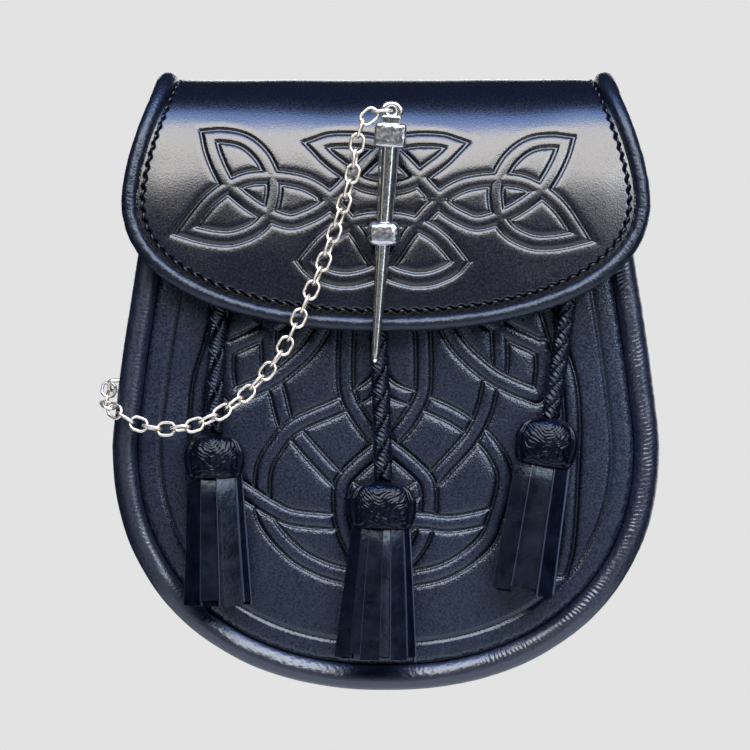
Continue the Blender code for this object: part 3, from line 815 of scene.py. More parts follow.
class Knot:
    """Centre lines of bands, the tips where two of them end together, and which one is on top where."""

    def __init__(self, lines, band, channel, depth, crown, shoulder, crossings=()):
        self.names = list(lines)
        self.lines = [resampled(smooth_route(lines[name]), LINE_STEP) for name in self.names]
        self.half = band / 2
        self.channel = channel
        self.depth = depth
        self.crown = crown
        self.shoulder = shoulder
        self.crossings = crossings
        self.tips = self.find_tips()

    def find_tips(self):
        """Where two strands end together: the place, and the directions in which both leave it."""
        ends = []
        for line in self.lines:
            ends.append((line[0], unit(line[TIP_POINTS] - line[0])))
            ends.append((line[-1], unit(line[-1 - TIP_POINTS] - line[-1])))
        tips = []
        for i, (place, leaving) in enumerate(ends):
            for other, its_leaving in ends[i + 1:]:
                if np.linalg.norm(place - other) < TIP_GAP and leaving @ its_leaving > -0.5:
                    tips.append((place, leaving, its_leaving))
        return tips

    def strands(self, points):
        """The distance of every point from every centre line, and the directions away from them."""
        distances, aways = [], []
        for line in self.lines:
            distance, index = nearest(points, line)
            distances.append(distance)
            aways.append(unit(points - line[index]))
        return np.array(distances), np.array(aways)

    def tops(self, points):
        """The strand on top at the nearest crossing, and whether a point is near enough for it."""
        places = np.array([place for place, _ in self.crossings])
        tops = np.array([self.names.index(name) for _, name in self.crossings])
        far, which = nearest(points, places)
        return tops[which], far < CROSSING_REACH

    def field(self, points, strands=None):
        """Each point's distance from the centre line that rules there, and the direction away from it."""
        distances, aways = strands or self.strands(points)
        every = np.arange(len(points))
        ruler = np.argmin(distances, axis=0)
        if self.crossings:
            top, near = self.tops(points)
            held = near & (distances[top, every] < self.half + self.channel)
            ruler = np.where(held, top, ruler)
        distance, away = distances[ruler, every], aways[ruler, every]
        for place, first, second in self.tips:
            distance, away = pointed(points, distance, away, place, first, second)
        return distance, away

    def heights(self, points):
        """The relief at points. At a crossing the top strand is whole and its channels cut the others."""
        strands = self.strands(points)
        heights = self.relief(self.field(points, strands)[0])
        if not self.crossings:
            return heights
        top, near = self.tops(points)
        every = np.arange(len(points))
        distances = strands[0].copy()
        over = distances[top, every]
        distances[top, every] = np.inf
        beside = np.minimum(self.relief(over), self.relief(distances.min(axis=0)))
        return np.where(near, np.where(over < self.half, self.relief(over), beside), heights)

    def relief(self, distance):
        """Heights of crowned bands with a rounded groove on both sides."""
        reach = self.channel / 2 + GROOVE_WALL
        off = distance - self.half - self.channel / 2
        groove = 0.5 + 0.5 * np.cos(math.pi * np.clip(off / reach, -1.0, 1.0))
        outside = smoothstep(-0.5 * reach, reach, off)
        crown = self.crown * np.minimum(distance / self.half, 1.0) ** 2
        shoulder = SHOULDER_SHARE * self.crown * np.clip(1 - (off - reach) / self.shoulder, 0.0, 1.0) ** 2
        return -self.depth * groove - crown * (1 - outside) - np.minimum(shoulder, self.crown) * outside

    def levels(self):
        """Distances at which the relief bends, where points are wanted."""
        reach = self.channel / 2 + GROOVE_WALL
        middle = self.half + self.channel / 2
        return tuple(middle + share * reach for share in (-1.0, -0.5, 0.0, 0.5, 1.0))


def pointed(points, distance, away, place, first, second):
    """Makes the tip at a place pointed instead of round. first and second lead away from it."""
    offset = points - place
    normals = []
    for ours, theirs in ((first, second), (second, first)):
        normal = np.array((-ours[1], ours[0]))
        normals.append(-normal if normal @ theirs > 0 else normal)
    sides = np.array([offset @ normal for normal in normals])
    beyond = (offset @ first < 0) & (offset @ second < 0) & (np.abs(sides).max(axis=0) < TIP_REACH)
    cap = sides.max(axis=0)
    better = beyond & (cap < distance)
    chosen = np.where(sides[0] > sides[1], 0, 1)
    away = np.where(better[:, None], np.array(normals)[chosen], away)
    return np.where(better, np.maximum(cap, 0.0), distance), away


def snapped(points, knot, spacing):
    """Points near a bend of the relief are moved onto it, which keeps its edges crisp."""
    distance, away = knot.field(points)
    for level in knot.levels():
        close = np.abs(distance - level) < SNAP_SHARE * spacing
        points = points + np.where(close, level - distance, 0.0)[:, None] * away
        distance = np.where(close, level, distance)
    return points, distance


def lattice_in(area, spacing):
    """A lattice's points inside an area, which is two corners of a box and a test."""
    low, high, within = area
    spots = lattice(low, high, spacing)
    return spots[within(spots)]


def clear_lattice(area, spacing, others, clear):
    """A lattice's points inside an area that keep clear of other points."""
    spots = lattice_in(area, spacing)
    distance, _ = nearest(spots, others)
    return spots[distance > clear]


def sheet_points(knot, area, rim, spacings, fine_rim):
    """Points for a pressed sheet: close together on the bands and along the rim, wider elsewhere."""
    fine, middle, coarse = spacings
    samples = np.concatenate(knot.lines)
    edge = knot.half + knot.channel
    spots = lattice_in(area, fine)
    rim_distance, _ = nearest(spots, rim)
    line_distance, _ = nearest(spots, samples)
    busy = (line_distance < edge + BAND_SURROUND) | (rim_distance < fine_rim)
    spots, rim_distance = spots[busy], rim_distance[busy]
    spots, distance = snapped(spots[rim_distance > 0.35 * fine], knot, fine)
    rim_distance, _ = nearest(spots, rim)
    spots = spots[((distance < edge + 0.55) | (rim_distance < fine_rim)) & (rim_distance > 0.3 * fine)]
    around = clear_lattice(area, middle, spots, CLEAR_SHARE * middle)
    line_distance, _ = nearest(around, samples)
    spots = np.concatenate((spots, around[line_distance < edge + BAND_SURROUND]))
    wide = clear_lattice(area, coarse, spots, CLEAR_SHARE * coarse)
    rim_distance, _ = nearest(wide, rim)
    return np.concatenate((spots, wide[rim_distance > 0.5 * coarse]))


def swelling(flat, rim_distance, swell):
    """A leather's soft unevenness, which fades out towards its rim."""
    height, pitch, seed, start, full = swell
    return height * ripple(*flat.T, pitch, seed) * smoothstep(start, full, rim_distance)


def rolled_edge(rim_distance, depth, width):
    """A leather's edge, rolled back."""
    return -depth * (1 - smoothstep(0.0, width, rim_distance))


# ---------------------------------------------------------------- the flap


def flap_half_width(height, inset):
    """Half the flap's width at a height on its front, moved in by inset."""
    if height < FLAP_WIDEST_HEIGHT:
        down = min(1.0, (FLAP_WIDEST_HEIGHT - height) / (FLAP_DROP - inset))
        return (FLAP_HALF_WIDTH - inset) * (1 - down**ROUNDNESS) ** (1 / ROUNDNESS)
    rise = (height - FLAP_WIDEST_HEIGHT) / FLAP_RISE
    return FLAP_HALF_WIDTH - inset - FLAP_DRAW_IN * rise**FLAP_POWER


class FlapShape:
    """The flap's leather as a flat sheet: across, and the distance along its profile from its sewn end."""

    def __init__(self):
        steps = 24
        line = np.array([tuple(point) for point in smooth_route(FLAP_PROFILE, steps)])
        along = unit(np.gradient(line, axis=0))
        self.depth, self.height = line[:, 0], line[:, 1]
        self.out = np.column_stack((along[:, 1], -along[:, 0]))
        self.reach = lengths_along(line)
        self.fold = FOLD_ROW * steps

    def reach_of(self, height):
        """The distance along the profile at a height on the front."""
        return np.interp(-np.asarray(height, float), -self.height[self.fold:], self.reach[self.fold:])

    def half_widths(self, inset):
        """Half the sheet's width at each point of the profile."""
        top = np.full(self.fold + 1, flap_half_width(self.height[self.fold], inset))
        front = np.array([flap_half_width(h, inset) for h in self.height[self.fold + 1:]])
        return np.concatenate((top, np.maximum(front, 0.0)))

    def rim(self, inset, spacing):
        """The flat sheet's rim, from the sewn end's left corner round the bottom to its right corner."""
        end = FLAP_WIDEST_HEIGHT - (FLAP_DROP - inset)
        turns = np.linspace(0.0, math.pi / 2, 160)
        heights = FLAP_WIDEST_HEIGHT - (FLAP_DROP - inset) * np.sin(turns) ** (2 / ROUNDNESS)
        side = [(w, s) for w, s, h in zip(self.half_widths(inset), self.reach, self.height)
                if s <= self.reach[self.fold] or h > FLAP_WIDEST_HEIGHT + 0.3]
        side += [(flap_half_width(h, inset), self.reach_of(h)) for h in heights[:-1]]
        side.append((0.0, float(self.reach_of(end))))
        left = [(-w, s) for w, s in side]
        return resampled(left + side[-2::-1], spacing)

    def place(self, flat, sink):
        """Points of the leather in space, sunk below its outer face."""
        across, reach = flat[:, 0], flat[:, 1]
        depth = np.interp(reach, self.reach, self.depth)
        height = np.interp(reach, self.reach, self.height)
        out = unit(looked_up(reach, self.reach, self.out))
        fold_depth = FLAP_PROFILE[FOLD_ROW][0]
        front = np.clip((fold_depth - depth) / (fold_depth - FLAP_RECESS_FULL_DEPTH), 0.0, 1.0)
        recess = FLAP_SIDE_RECESS * front * (np.abs(across) / FLAP_HALF_WIDTH) ** 3
        return np.column_stack((across, depth - out[:, 0] * sink + recess, height - out[:, 1] * sink))

    def outwards(self, flat):
        """The directions out of the leather at points of the flat sheet."""
        out = unit(looked_up(flat[:, 1], self.reach, self.out))
        return np.column_stack((np.zeros(len(flat)), out))


def mirrored_knot(rows):
    """Rows of pixels on the other side of the flap knot's leaning axis."""
    return [(2 * (KNOT_AXIS - KNOT_LEAN * (v - KNOT_AXIS_TOP)) - u, v) for u, v in rows]


def turned_right(rows):
    """The right triquetra is the left one mirrored, and turned a little."""
    shift, lift = RIGHT_TURN
    join_u, join_v = RIGHT_JOIN
    return [(u - shift * (v - join_v), v + lift * (u - join_u)) for u, v in mirrored_knot(rows)]


def flap_knot(shape):
    """The flap's knot on the flat sheet."""
    rows = {}
    for name, strand in TRIQUETRA.items():
        rows[f"{name}_left"] = strand
        rows[f"{name}_right"] = turned_right(strand)
    for name, strand in CENTRE_STRANDS.items():
        rows[f"{name}_right"] = strand
        if name in ("over_top", "under_bottom"):
            rows[f"{name}_left"] = mirrored_knot(strand)
    lines = {}
    for name, strand in rows.items():
        lines[name] = [(across, float(shape.reach_of(height))) for across, height in on_front(strand)]
    return Knot(lines, FLAP_BAND, FLAP_CHANNEL, FLAP_CHANNEL_DEPTH, FLAP_CROWN, FLAP_SHOULDER)


SEAM_INSET = 5.2  # the leather's own edge, inside the flap's
SEAM_WIDTH = 1.9  # of the sunk seam beside the piping
SEAM_DEPTH = 1.55
SEAM_SLOPE = 0.75
SEAM_SURROUND = 3.4  # how far from the rim the sheet's points stay close together
SCALLOP = 0.36
FLAP_SPACINGS = (0.33, 0.66, 1.4)  # of the sheet's points: on the bands, round them and elsewhere
# Height, pitch and seed, and how far from the rim the swell starts and is full
FLAP_SWELL = (0.22, 32.0, 1, 2.0, 10.0)
FLAP_ROLL_RADIUS = 2.62  # the rolled edging, a little thicker than its solid
FLAP_CURL = 1.0  # how much thicker the edging is where it curls over the top
FLAP_CURL_REACH = 5.0
FLAP_RIM_STEP = 0.1
POST_HOLE_RADIUS = 3.1


def seam_relief(rim_distance, rim_place):
    """The leather's edge rolls down into the seam, drawn in at each stitch."""
    drawn = rim_distance + SCALLOP * np.cos(math.tau * rim_place / STITCH_PITCH)
    return -SEAM_DEPTH * (1 - smoothstep(SEAM_WIDTH - SEAM_SLOPE, SEAM_WIDTH + SEAM_SLOPE, drawn))


def post_hole(shape):
    """The rim of the hole that the staple's post comes through, on the flat sheet."""
    turns = circle(20)
    centre = (STAPLE_PLACE[0], float(shape.reach_of(STAPLE_PLACE[2])))
    return np.array(centre) + POST_HOLE_RADIUS * np.column_stack((np.cos(turns), np.sin(turns)))


def make_flap(material, thread):
    """The pressed leather with its seam, its hole for the post and its plain back."""
    shape = FlapShape()
    knot = flap_knot(shape)
    rim = shape.rim(SEAM_INSET, 0.5)
    fine_rim = resampled(rim, FLAP_RIM_STEP)
    hole = post_hole(shape)
    middle = hole.mean(axis=0)
    widths = shape.half_widths(SEAM_INSET)

    def within(points):
        clear = np.linalg.norm(points - middle, axis=1) > POST_HOLE_RADIUS + 0.4
        return clear & inside_span(points, shape.reach, widths, 0.1)

    def pierced(spots):
        points, faces, rims = triangulated(np.concatenate((rim, hole, spots)), len(rim), len(hole))
        return points, drop_hole(points, faces, middle, POST_HOLE_RADIUS), rims

    area = ((-FLAP_HALF_WIDTH, 0.2), (FLAP_HALF_WIDTH, shape.reach[-1]), within)
    flat, *front = pierced(sheet_points(knot, area, fine_rim, FLAP_SPACINGS, SEAM_SURROUND))
    rim_distance, index = nearest(flat, fine_rim)
    pressed = knot.heights(flat) + seam_relief(rim_distance, index * FLAP_RIM_STEP)
    outer = (shape.place(flat, -(pressed + swelling(flat, rim_distance, FLAP_SWELL))), *front)
    flat, *back = pierced(clear_lattice(area, 4.0, rim, 1.5))
    inner = (shape.place(flat, LEATHER), *back)
    obj = leather_sheet("flap_leather", outer, inner, (len(rim), len(hole)), material, pressed)
    dress(obj, "embossed_leather", "flap")
    make_flap_stitches(shape, thread)
    return shape


def drop_hole(points, faces, middle, radius):
    """The triangles that aren't inside a round hole."""
    centres = np.array([points[list(face)].mean(axis=0) for face in faces])
    keep = np.linalg.norm(centres - middle, axis=1) > radius * 0.98
    return [face for face, kept in zip(faces, keep) if kept]


def make_flap_stitches(shape, thread):
    """Slanting stitches that lie in the seam, on the flap's front and fold."""
    line = shape.rim(SEAM_INSET + 1.75, 0.4)
    line = line[line[:, 1] > 4.0]
    points = shape.place(line, 0.6)
    sizes = {"length": 2.2, "radius": 0.36, "slant": 0.3, "lift": 0.45}
    obj = stitches("flap_stitches", points, shape.outwards(line), thread, **sizes)
    dress(obj, "embossed_leather")


def make_flap_piping(shape, material):
    """The rolled edging, lightly wrinkled across and thicker where it curls over the top."""
    line = resampled(shape.place(shape.rim(FLAP_ROLL_RADIUS, 0.36), LEATHER / 2), 0.34)
    places = lengths_along(line)
    below_top = line[:, 2].max() - line[:, 2]
    curls = FLAP_CURL * np.exp(-((below_top / FLAP_CURL_REACH) ** 2))
    wrinkle_pitch, wrinkle_height, soft_height, slant, wander = 1.5, 0.085, 0.07, 1.6, 2.2

    def radius(reach, turn):
        inner = 0.5 - 0.5 * np.sin(turn)
        slanted = reach + slant * np.sin(turn)
        phase = math.tau * slanted / wrinkle_pitch + wander * ripple(reach, turn * 2, 8.0, 2)
        share = np.clip(0.5 + 0.5 * ripple(reach, turn * 2, 17.0, 3), 0.0, 1.0) * (0.35 + 0.65 * inner)
        soft = soft_height * ripple(reach, turn * 3, 5.0, 4)
        curl = np.interp(reach, places, curls)
        return FLAP_ROLL_RADIUS - 0.05 + wrinkle_height * share * np.sin(phase) + soft + curl

    obj = loft("flap_piping_roll", tube_rings(line, FRONTWARDS, 24, radius), material)
    dress(obj, "binding_leather", "flap_piping")


# ---------------------------------------------------------------- the front panel


def mirrored_panel(rows):
    """Rows of pixels on the panel knot's other side."""
    return [(2 * PANEL_AXIS - u, v) for u, v in rows]


def panel_knot():
    """The front panel's knot, with what is on top at its crossings."""
    rows = dict(PANEL_STRANDS)
    for name, strand in PANEL_HALVES.items():
        rows[f"{name}_right"] = strand
        rows[f"{name}_left"] = mirrored_panel(strand)
    lines = {name: on_front(strand) for name, strand in rows.items()}
    crossings = [(on_front([place])[0], top) for place, top in CROSSINGS]
    pressing = (PANEL_CHANNEL, PANEL_CHANNEL_DEPTH, PANEL_CROWN, PANEL_SHOULDER)
    return Knot(lines, PANEL_BAND, *pressing, crossings)


def border_relief(rim_distance):
    """The channel that runs round the panel, inside its edge."""
    off = np.abs(rim_distance - BORDER_INSET) / (BORDER_HALF_WIDTH + GROOVE_WALL)
    return -BORDER_DEPTH * (0.5 + 0.5 * np.cos(math.pi * np.minimum(off, 1.0)))


PANEL_SPACINGS = (0.4, 0.8, 1.7)  # of the sheet's points: on the bands, round them and elsewhere
BORDER_SPACING = 0.42
PANEL_SWELL = (0.25, 36.0, 5, 1.0, 9.0)  # as FLAP_SWELL
PANEL_ROLL = (0.5, 1.3)  # depth and width


def panel_points(knot, sheet, sides):
    """Points for the pressed panel, close together on the knotwork and on the channel round it."""
    spots = sheet_points(knot, sheet.area, sheet.closed_rim(0.15), PANEL_SPACINGS, 0.0)
    border = lattice_in(sheet.area, BORDER_SPACING)
    side_distance, _ = nearest(border, sides)
    border = border[np.abs(side_distance - BORDER_INSET) < BORDER_HALF_WIDTH + 0.5]
    clear, _ = nearest(spots, border)
    return np.concatenate((spots[clear > 0.25], border))


def make_front_panel(material):
    """The domed, pressed leather with its rolled edge and its plain back."""
    knot = panel_knot()
    sheet = PocketSheet(PANEL_INSET, PANEL_TOP, spacing=0.8, side_margin=0.1, top_margin=0.3)
    rim, sides = sheet.rim, resampled(sheet.sides, 0.15)
    flat, *front = triangulated(np.concatenate((rim, panel_points(knot, sheet, sides))), len(rim))
    side_distance, _ = nearest(flat, sides)
    knotwork = knot.heights(flat) * smoothstep(*KNOTWORK_START, side_distance)
    pressed = np.minimum(knotwork, border_relief(side_distance))
    relief = pressed + swelling(flat, side_distance, PANEL_SWELL) + rolled_edge(side_distance, *PANEL_ROLL)
    outer = (upright(flat, panel_depth(*flat.T) - relief), *front)
    flat, *back = triangulated(np.concatenate((rim, clear_lattice(sheet.area, 6.0, rim, 2.5))), len(rim))
    inner = (upright(flat, panel_depth(*flat.T) + LEATHER), *back)
    obj = leather_sheet("front_leather", outer, inner, (len(rim),), material, pressed)
    dress(obj, "embossed_leather", "front_panel")


# The binding's radius goes by the share of its length, 0 at its top left, 0.5 at the bottom and 1 at its
# top right, and by the turn round it, 0 in front and negative towards the panel.
BINDING_FACE = -0.42  # the turn at which the binding is pressed flat on its lower left
FACE_DEPTH = 0.42
FACE_WIDTH = 0.14
FINE_WRINKLE = (0.23, 1.45)  # height and pitch
WIDE_WRINKLE = (0.05, 4.6)
STREAK_HEIGHT = 0.13
STREAK_SLANT = 3.4


def binding_wrinkles(share, reach, turn):
    """Slanting wrinkles, which are weak on the left side and on the side away from the panel."""
    slanted = reach + (2.6 - 0.9 * smoothstep(0.5, 0.7, share)) * BINDING_RADIUS * np.sin(turn)
    calm = 0.16 + 0.84 * smoothstep(0.3, 0.4, share) - 0.55 * np.exp(-((share - 0.62) / 0.05) ** 2)
    inner = 0.12 + 0.88 * smoothstep(-0.55, 0.35, -np.sin(turn))
    patch = np.clip(0.6 + 0.6 * ripple(reach, turn * 6, 22.0, 8), 0.0, 1.0)
    (fine_height, fine_pitch), (wide_height, wide_pitch) = FINE_WRINKLE, WIDE_WRINKLE
    fine = np.sin(math.tau * slanted / fine_pitch + 2.4 * ripple(reach, turn * 4, 6.0, 7))
    wide = np.sin(math.tau * slanted / wide_pitch + 2.8 * ripple(reach, turn * 4, 13.0, 6))
    return calm * (fine_height * patch * inner * fine + wide_height * (1 - 0.6 * patch) * wide)


def make_body_binding(material):
    """The thick rolled binding, smooth on the left and drawn into slanting wrinkles from the bottom on."""
    line = upright(body_outline(BINDING_RADIUS, BINDING_TOP, 0.3), BINDING_DEPTH)
    total = lengths_along(line)[-1]

    def radius(reach, turn):
        share = reach / total
        drawn = smoothstep(0.29, 0.4, share) * (1 - smoothstep(0.5, 0.6, share))
        face = np.exp((np.cos(turn - BINDING_FACE) - 1) / FACE_WIDTH)
        slanted = reach + STREAK_SLANT * BINDING_RADIUS * np.sin(turn)
        pressed = drawn * face * (STREAK_HEIGHT * ripple(slanted, turn * 0.5, 3.2, 10) - FACE_DEPTH)
        swell = 0.08 * ripple(reach, turn * 4, 14.0, 9)
        return BINDING_RADIUS + (1 - drawn) * binding_wrinkles(share, reach, turn) + pressed + swell

    obj = loft("body_binding", tube_rings(line, FRONTWARDS, 38, radius), material)
    dress(obj, "binding_leather", "body_piping")


# ---------------------------------------------------------------- the back, the gusset and the belt loop

BACK_SEAM_INSET = 3.2
BACK_SEAM_DEPTH = 0.4
BACK_SEAM_WIDTH = 0.7
BACK_SURROUND = 4.8  # how far from the rim the sheet's points stay close together
BACK_ROLL = (0.55, 1.2)  # depth and width


def make_back_panel(material, thread):
    """Flat leather with a stitched edge."""
    sheet = PocketSheet(BACK_INSET, BACK_TOP, spacing=1.0, side_margin=0.3, top_margin=0.5)
    rim, closed_rim = sheet.rim, sheet.closed_rim(0.3)
    near_rim = lattice_in(sheet.area, 0.7)
    rim_distance, _ = nearest(near_rim, closed_rim)
    near_rim = near_rim[(rim_distance > 0.3) & (rim_distance < BACK_SURROUND)]
    wide = clear_lattice(sheet.area, 4.0, closed_rim, BACK_SURROUND + 1.2)
    flat, *faces = triangulated(np.concatenate((rim, near_rim, wide)), len(rim))
    rim_distance, _ = nearest(flat, closed_rim)
    sewn = -BACK_SEAM_DEPTH * np.exp(-((rim_distance - BACK_SEAM_INSET) / BACK_SEAM_WIDTH) ** 2)
    outer = (upright(flat, BACK_FACE_DEPTH + rolled_edge(rim_distance, *BACK_ROLL) + sewn), *faces)
    inner = (upright(flat, BACK_FACE_DEPTH - LEATHER), *faces)
    dress(leather_sheet("back_leather", outer, inner, (len(rim),), material), "plain_leather", "back_panel")
    seam = upright(body_outline(BACK_INSET + BACK_SEAM_INSET, BACK_TOP - 4.0, 0.6), BACK_FACE_DEPTH - 0.35)
    obj = stitches("back_stitches", seam, BACKWARDS, thread, length=2.8, radius=0.33)
    dress(obj, "plain_leather")


GUSSET_BOW = 0.66
GUSSET_CREASE = 0.18


def make_gusset(material):
    """The side wall, which bows in softly between its two seams."""
    line = upright(body_outline(GUSSET_INSET, GUSSET_TOP, 1.1), 0.0)
    along = unit(np.gradient(line, axis=0))
    inwards = np.column_stack((-along[:, 2], np.zeros(len(line)), along[:, 0]))
    inwards = np.where((inwards[:, 2] < -0.99)[:, None], -inwards, inwards)
    back, front = GUSSET_DEPTHS
    share = np.linspace(0.0, 1.0, 17)
    reach = lengths_along(line)[:, None]
    bow = GUSSET_BOW * np.sin(math.pi * share)[None, :] ** 0.7
    crease = GUSSET_CREASE * np.sin(math.pi * share)[None, :] * ripple(reach, share[None, :] * 30, 13.0, 11)
    sunk = bow + crease
    rounding = 0.5 * (np.abs(2 * share - 1) ** 10)[None, :]
    rings = []
    for sink, order in ((sunk + rounding, 1), (sunk + GUSSET_LEATHER - rounding, -1)):
        face = line[:, None, :] + inwards[:, None, :] * sink[:, :, None]
        face[:, :, 1] = (back + (front - back) * share)[None, :]
        rings.append(face[:, ::order])
    obj = loft("gusset_leather", np.concatenate(rings, axis=1), material)
    dress(obj, "plain_leather", "gusset")


LOOP_CORNER = 0.7
LOOP_SEAM_HEIGHT = 19.9


def loop_section():
    """The strap's section as (across, sunk below its outer face), with rounded corners."""
    edge = np.linspace(0.0, math.pi / 2, 5)
    corner = LOOP_CORNER
    outer = [(LOOP_HALF_WIDTH - corner + corner * math.cos(a), corner * (math.sin(a) - 1)) for a in edge]
    inner = [(across, -LEATHER - sink) for across, sink in reversed(outer)]
    right = inner + outer
    return np.array(right + [(-across, sink) for across, sink in reversed(right)])


def make_belt_loop(material, thread):
    """A strap with rounded edges, sewn down above and below the belt's passage."""
    profile = [*LOOP_PROFILE, *((depth, -height) for depth, height in reversed(LOOP_PROFILE))]
    line = resampled(smooth_route(profile, 10), 0.7)
    along = unit(np.gradient(line, axis=0))
    out = np.column_stack((-along[:, 1], along[:, 0]))
    section = loop_section()
    rings = np.zeros((len(line), len(section), 3))
    rings[:, :, 0] = section[None, :, 0]
    rings[:, :, 1:] = line[:, None, :] + out[:, None, :] * section[None, :, 1, None]
    dress(loft("belt_strap", rings, material), "plain_leather", "belt_loop")
    across = np.arange(-LOOP_HALF_WIDTH + 3, LOOP_HALF_WIDTH - 3, 0.5)
    for i, height in enumerate((LOOP_SEAM_HEIGHT, -LOOP_SEAM_HEIGHT)):
        seam = upright(np.column_stack((across, np.full(len(across), height))), -0.25)
        obj = stitches(f"strap_stitches_{i + 1}", seam, BACKWARDS, thread, length=2.8, radius=0.36)
        dress(obj, "plain_leather")


# ---------------------------------------------------------------- the clasp

EYE_SPREAD = 0.28  # how much wider than high the dressed eye is
DENT_PITCH = 2.2
SHARP_BLOCK = 12.0  # the roundness of blocks that stay nearly square


def applied(obj):
    """Turns an object's modifiers into its mesh."""
    depsgraph = bpy.context.evaluated_depsgraph_get()
    mesh = bpy.data.meshes.new_from_object(obj.evaluated_get(depsgraph), depsgraph=depsgraph)
    obj.modifiers.clear()
    obj.data = mesh
    return obj


def union(base, others, operation="UNION"):
    """Joins other solids to a piece, or cuts them out of it, and leaves only the piece."""
    for other in others:
        modifier = base.modifiers.new(operation, "BOOLEAN")
        modifier.operation = operation
        modifier.solver = "EXACT"
        modifier.material_mode = "TRANSFER"
        modifier.object = other
    applied(base)
    for other in others:
        bpy.data.objects.remove(other)
    base.data.shade_smooth()
    base.data.set_sharp_from_angle(angle=math.radians(38))
    return base


def pin_place(point):
    """A point of the pin in space, from (across, depth, up) about the middle of its head."""
    turn = Matrix.Rotation(PIN_LEAN, 3, "Y")
    return Vector(PIN_HEAD_PLACE) + turn @ Vector(point)


def rounded_block(name, size, roundness, material, place, dents=0.0, seed=0):
    """A block with swelling faces and a hammered surface. The lower roundness is, the rounder it is."""
    shape = bmesh.new()
    bmesh.ops.create_cube(shape, size=2.0)
    bmesh.ops.subdivide_edges(shape, edges=shape.edges[:], cuts=23, use_grid_fill=True)
    for vert in shape.verts:
        corner = [math.copysign(abs(c) ** 0.8, c) for c in vert.co]
        norm = sum(abs(c) ** roundness for c in corner) ** (1 / roundness)
        spot = Vector([c / norm * side for c, side in zip(corner, size)]) / 2
        dent = dents * float(ripple(spot.x + spot.y, spot.z + 0.7 * spot.y, DENT_PITCH, seed))
        spot -= spot.normalized() * max(0.0, dents + dent)
        vert.co = Vector(place(spot)) * MM
    mesh = bpy.data.meshes.new(name)
    shape.to_mesh(mesh)
    shape.free()
    mesh.materials.append(material)
    mesh.shade_smooth()
    return add_object(name, mesh)


def taper_rings(grow=0.0):
    """The pin's shaft as rings in space."""
    (start, _), *_, (shoulder, _), (end, _) = PIN_TAPER
    shoulder_rings = [shoulder + (end - shoulder) * share for share in (0.35, 0.7, 1.0)]
    rings = []
    for down in (*np.linspace(start, shoulder, 60), *shoulder_rings):
        size = float(np.interp(down, *zip(*PIN_TAPER))) + grow
        ring = [(size * math.cos(turn), size * math.sin(turn), -down) for turn in circle(40)]
        rings.append([tuple(pin_place(point)) for point in ring])
    return np.array(rings)


def eye_rings():
    """The pin's eye, a ring of round wire: its points and faces."""
    wall = (EYE_RADIUS - EYE_HOLE_RADIUS) / 2
    around, section = circle(48), circle(20)
    points = []
    for turn in around:
        for angle in section:
            out = EYE_HOLE_RADIUS + wall + wall * math.cos(angle)
            wider = 1 + EYE_SPREAD * (out - EYE_HOLE_RADIUS) / (EYE_RADIUS - EYE_HOLE_RADIUS)
            deep = EYE_THICKNESS / 2 * math.sin(angle)
            place = (out * math.cos(turn) * wider, deep, EYE_HEIGHT + out * math.sin(turn))
            points.append(tuple(pin_place(place)))
    return points, wrapped_faces(len(around), len(section))


def wrapped_faces(rows, columns):
    """Quads of a ring that closes both ways."""
    faces = []
    for row in range(rows):
        for i in range(columns):
            j = (i + 1) % columns
            after = (row + 1) % rows * columns
            faces.append((row * columns + i, row * columns + j, after + j, after + i))
    return faces


def make_clasp_pin(material, satin):
    """The tapered shaft with its square head, its neck and its eye, in one."""

    def at_neck(point):
        return pin_place((point.x, point.y, point.z + EYE_NECK_HEIGHT))

    shaft = loft("clasp_pin_dressed", taper_rings(), material)
    head = rounded_block("pin_head", PIN_HEAD_SIZE, PIN_HEAD_ROUNDNESS, satin, pin_place, dents=0.07, seed=21)
    neck = rounded_block("pin_neck", EYE_NECK_SIZE, PIN_HEAD_ROUNDNESS, material, at_neck)
    eye = add_mesh("pin_eye", *eye_rings(), material)
    dress(union(shaft, [head, neck, eye]), "polished_metal", "clasp_pin")


def make_staple(material):
    """A hammered block on a post and a plate, with the pin's bore through it."""
    across, depth, height = STAPLE_PLACE
    plate_front = float(panel_depth(across, height)) - GAP - PLATE_THICKNESS
    block_back = depth + STAPLE_SIZE[1] / 2
    post_size = (POST_SIDE, plate_front - block_back + 2.0, POST_SIDE)
    plate_size = (PLATE_SIDE, PLATE_THICKNESS, PLATE_SIDE)
    post_depth = (plate_front + block_back) / 2
    plate_depth = plate_front + PLATE_THICKNESS / 2

    def block(name, size, roundness, y, **dented):
        place = Vector((across, y, height))
        return rounded_block(name, size, roundness, material, lambda point: point + place, **dented)

    staple = block("staple_dressed", STAPLE_SIZE, STAPLE_ROUNDNESS, depth, dents=0.08, seed=23)
    post = block("post", post_size, SHARP_BLOCK, post_depth)
    plate = block("plate", plate_size, SHARP_BLOCK, plate_depth)
    union(staple, [post, plate])
    union(staple, [loft("pin_bore", taper_rings(grow=GAP), material)], "DIFFERENCE")
    dress(staple, "polished_metal", "staple")


# ---------------------------------------------------------------- the chain


DRESSED_WIRE = 1.06  # thicker than the solid links' wire, so that the links touch
LINK_GROWTH = 0.12  # how much longer and wider the dressed links are
LINK_TWIST, TWIST_SWAY = 14.0, 12.0  # how far the links are turned, and how far this sways, in degrees
SWAY_STEP, SWAY_START = 0.42, 4.4  # radians, from link to link and at the first one
ANCHOR_SUNK = 1.2


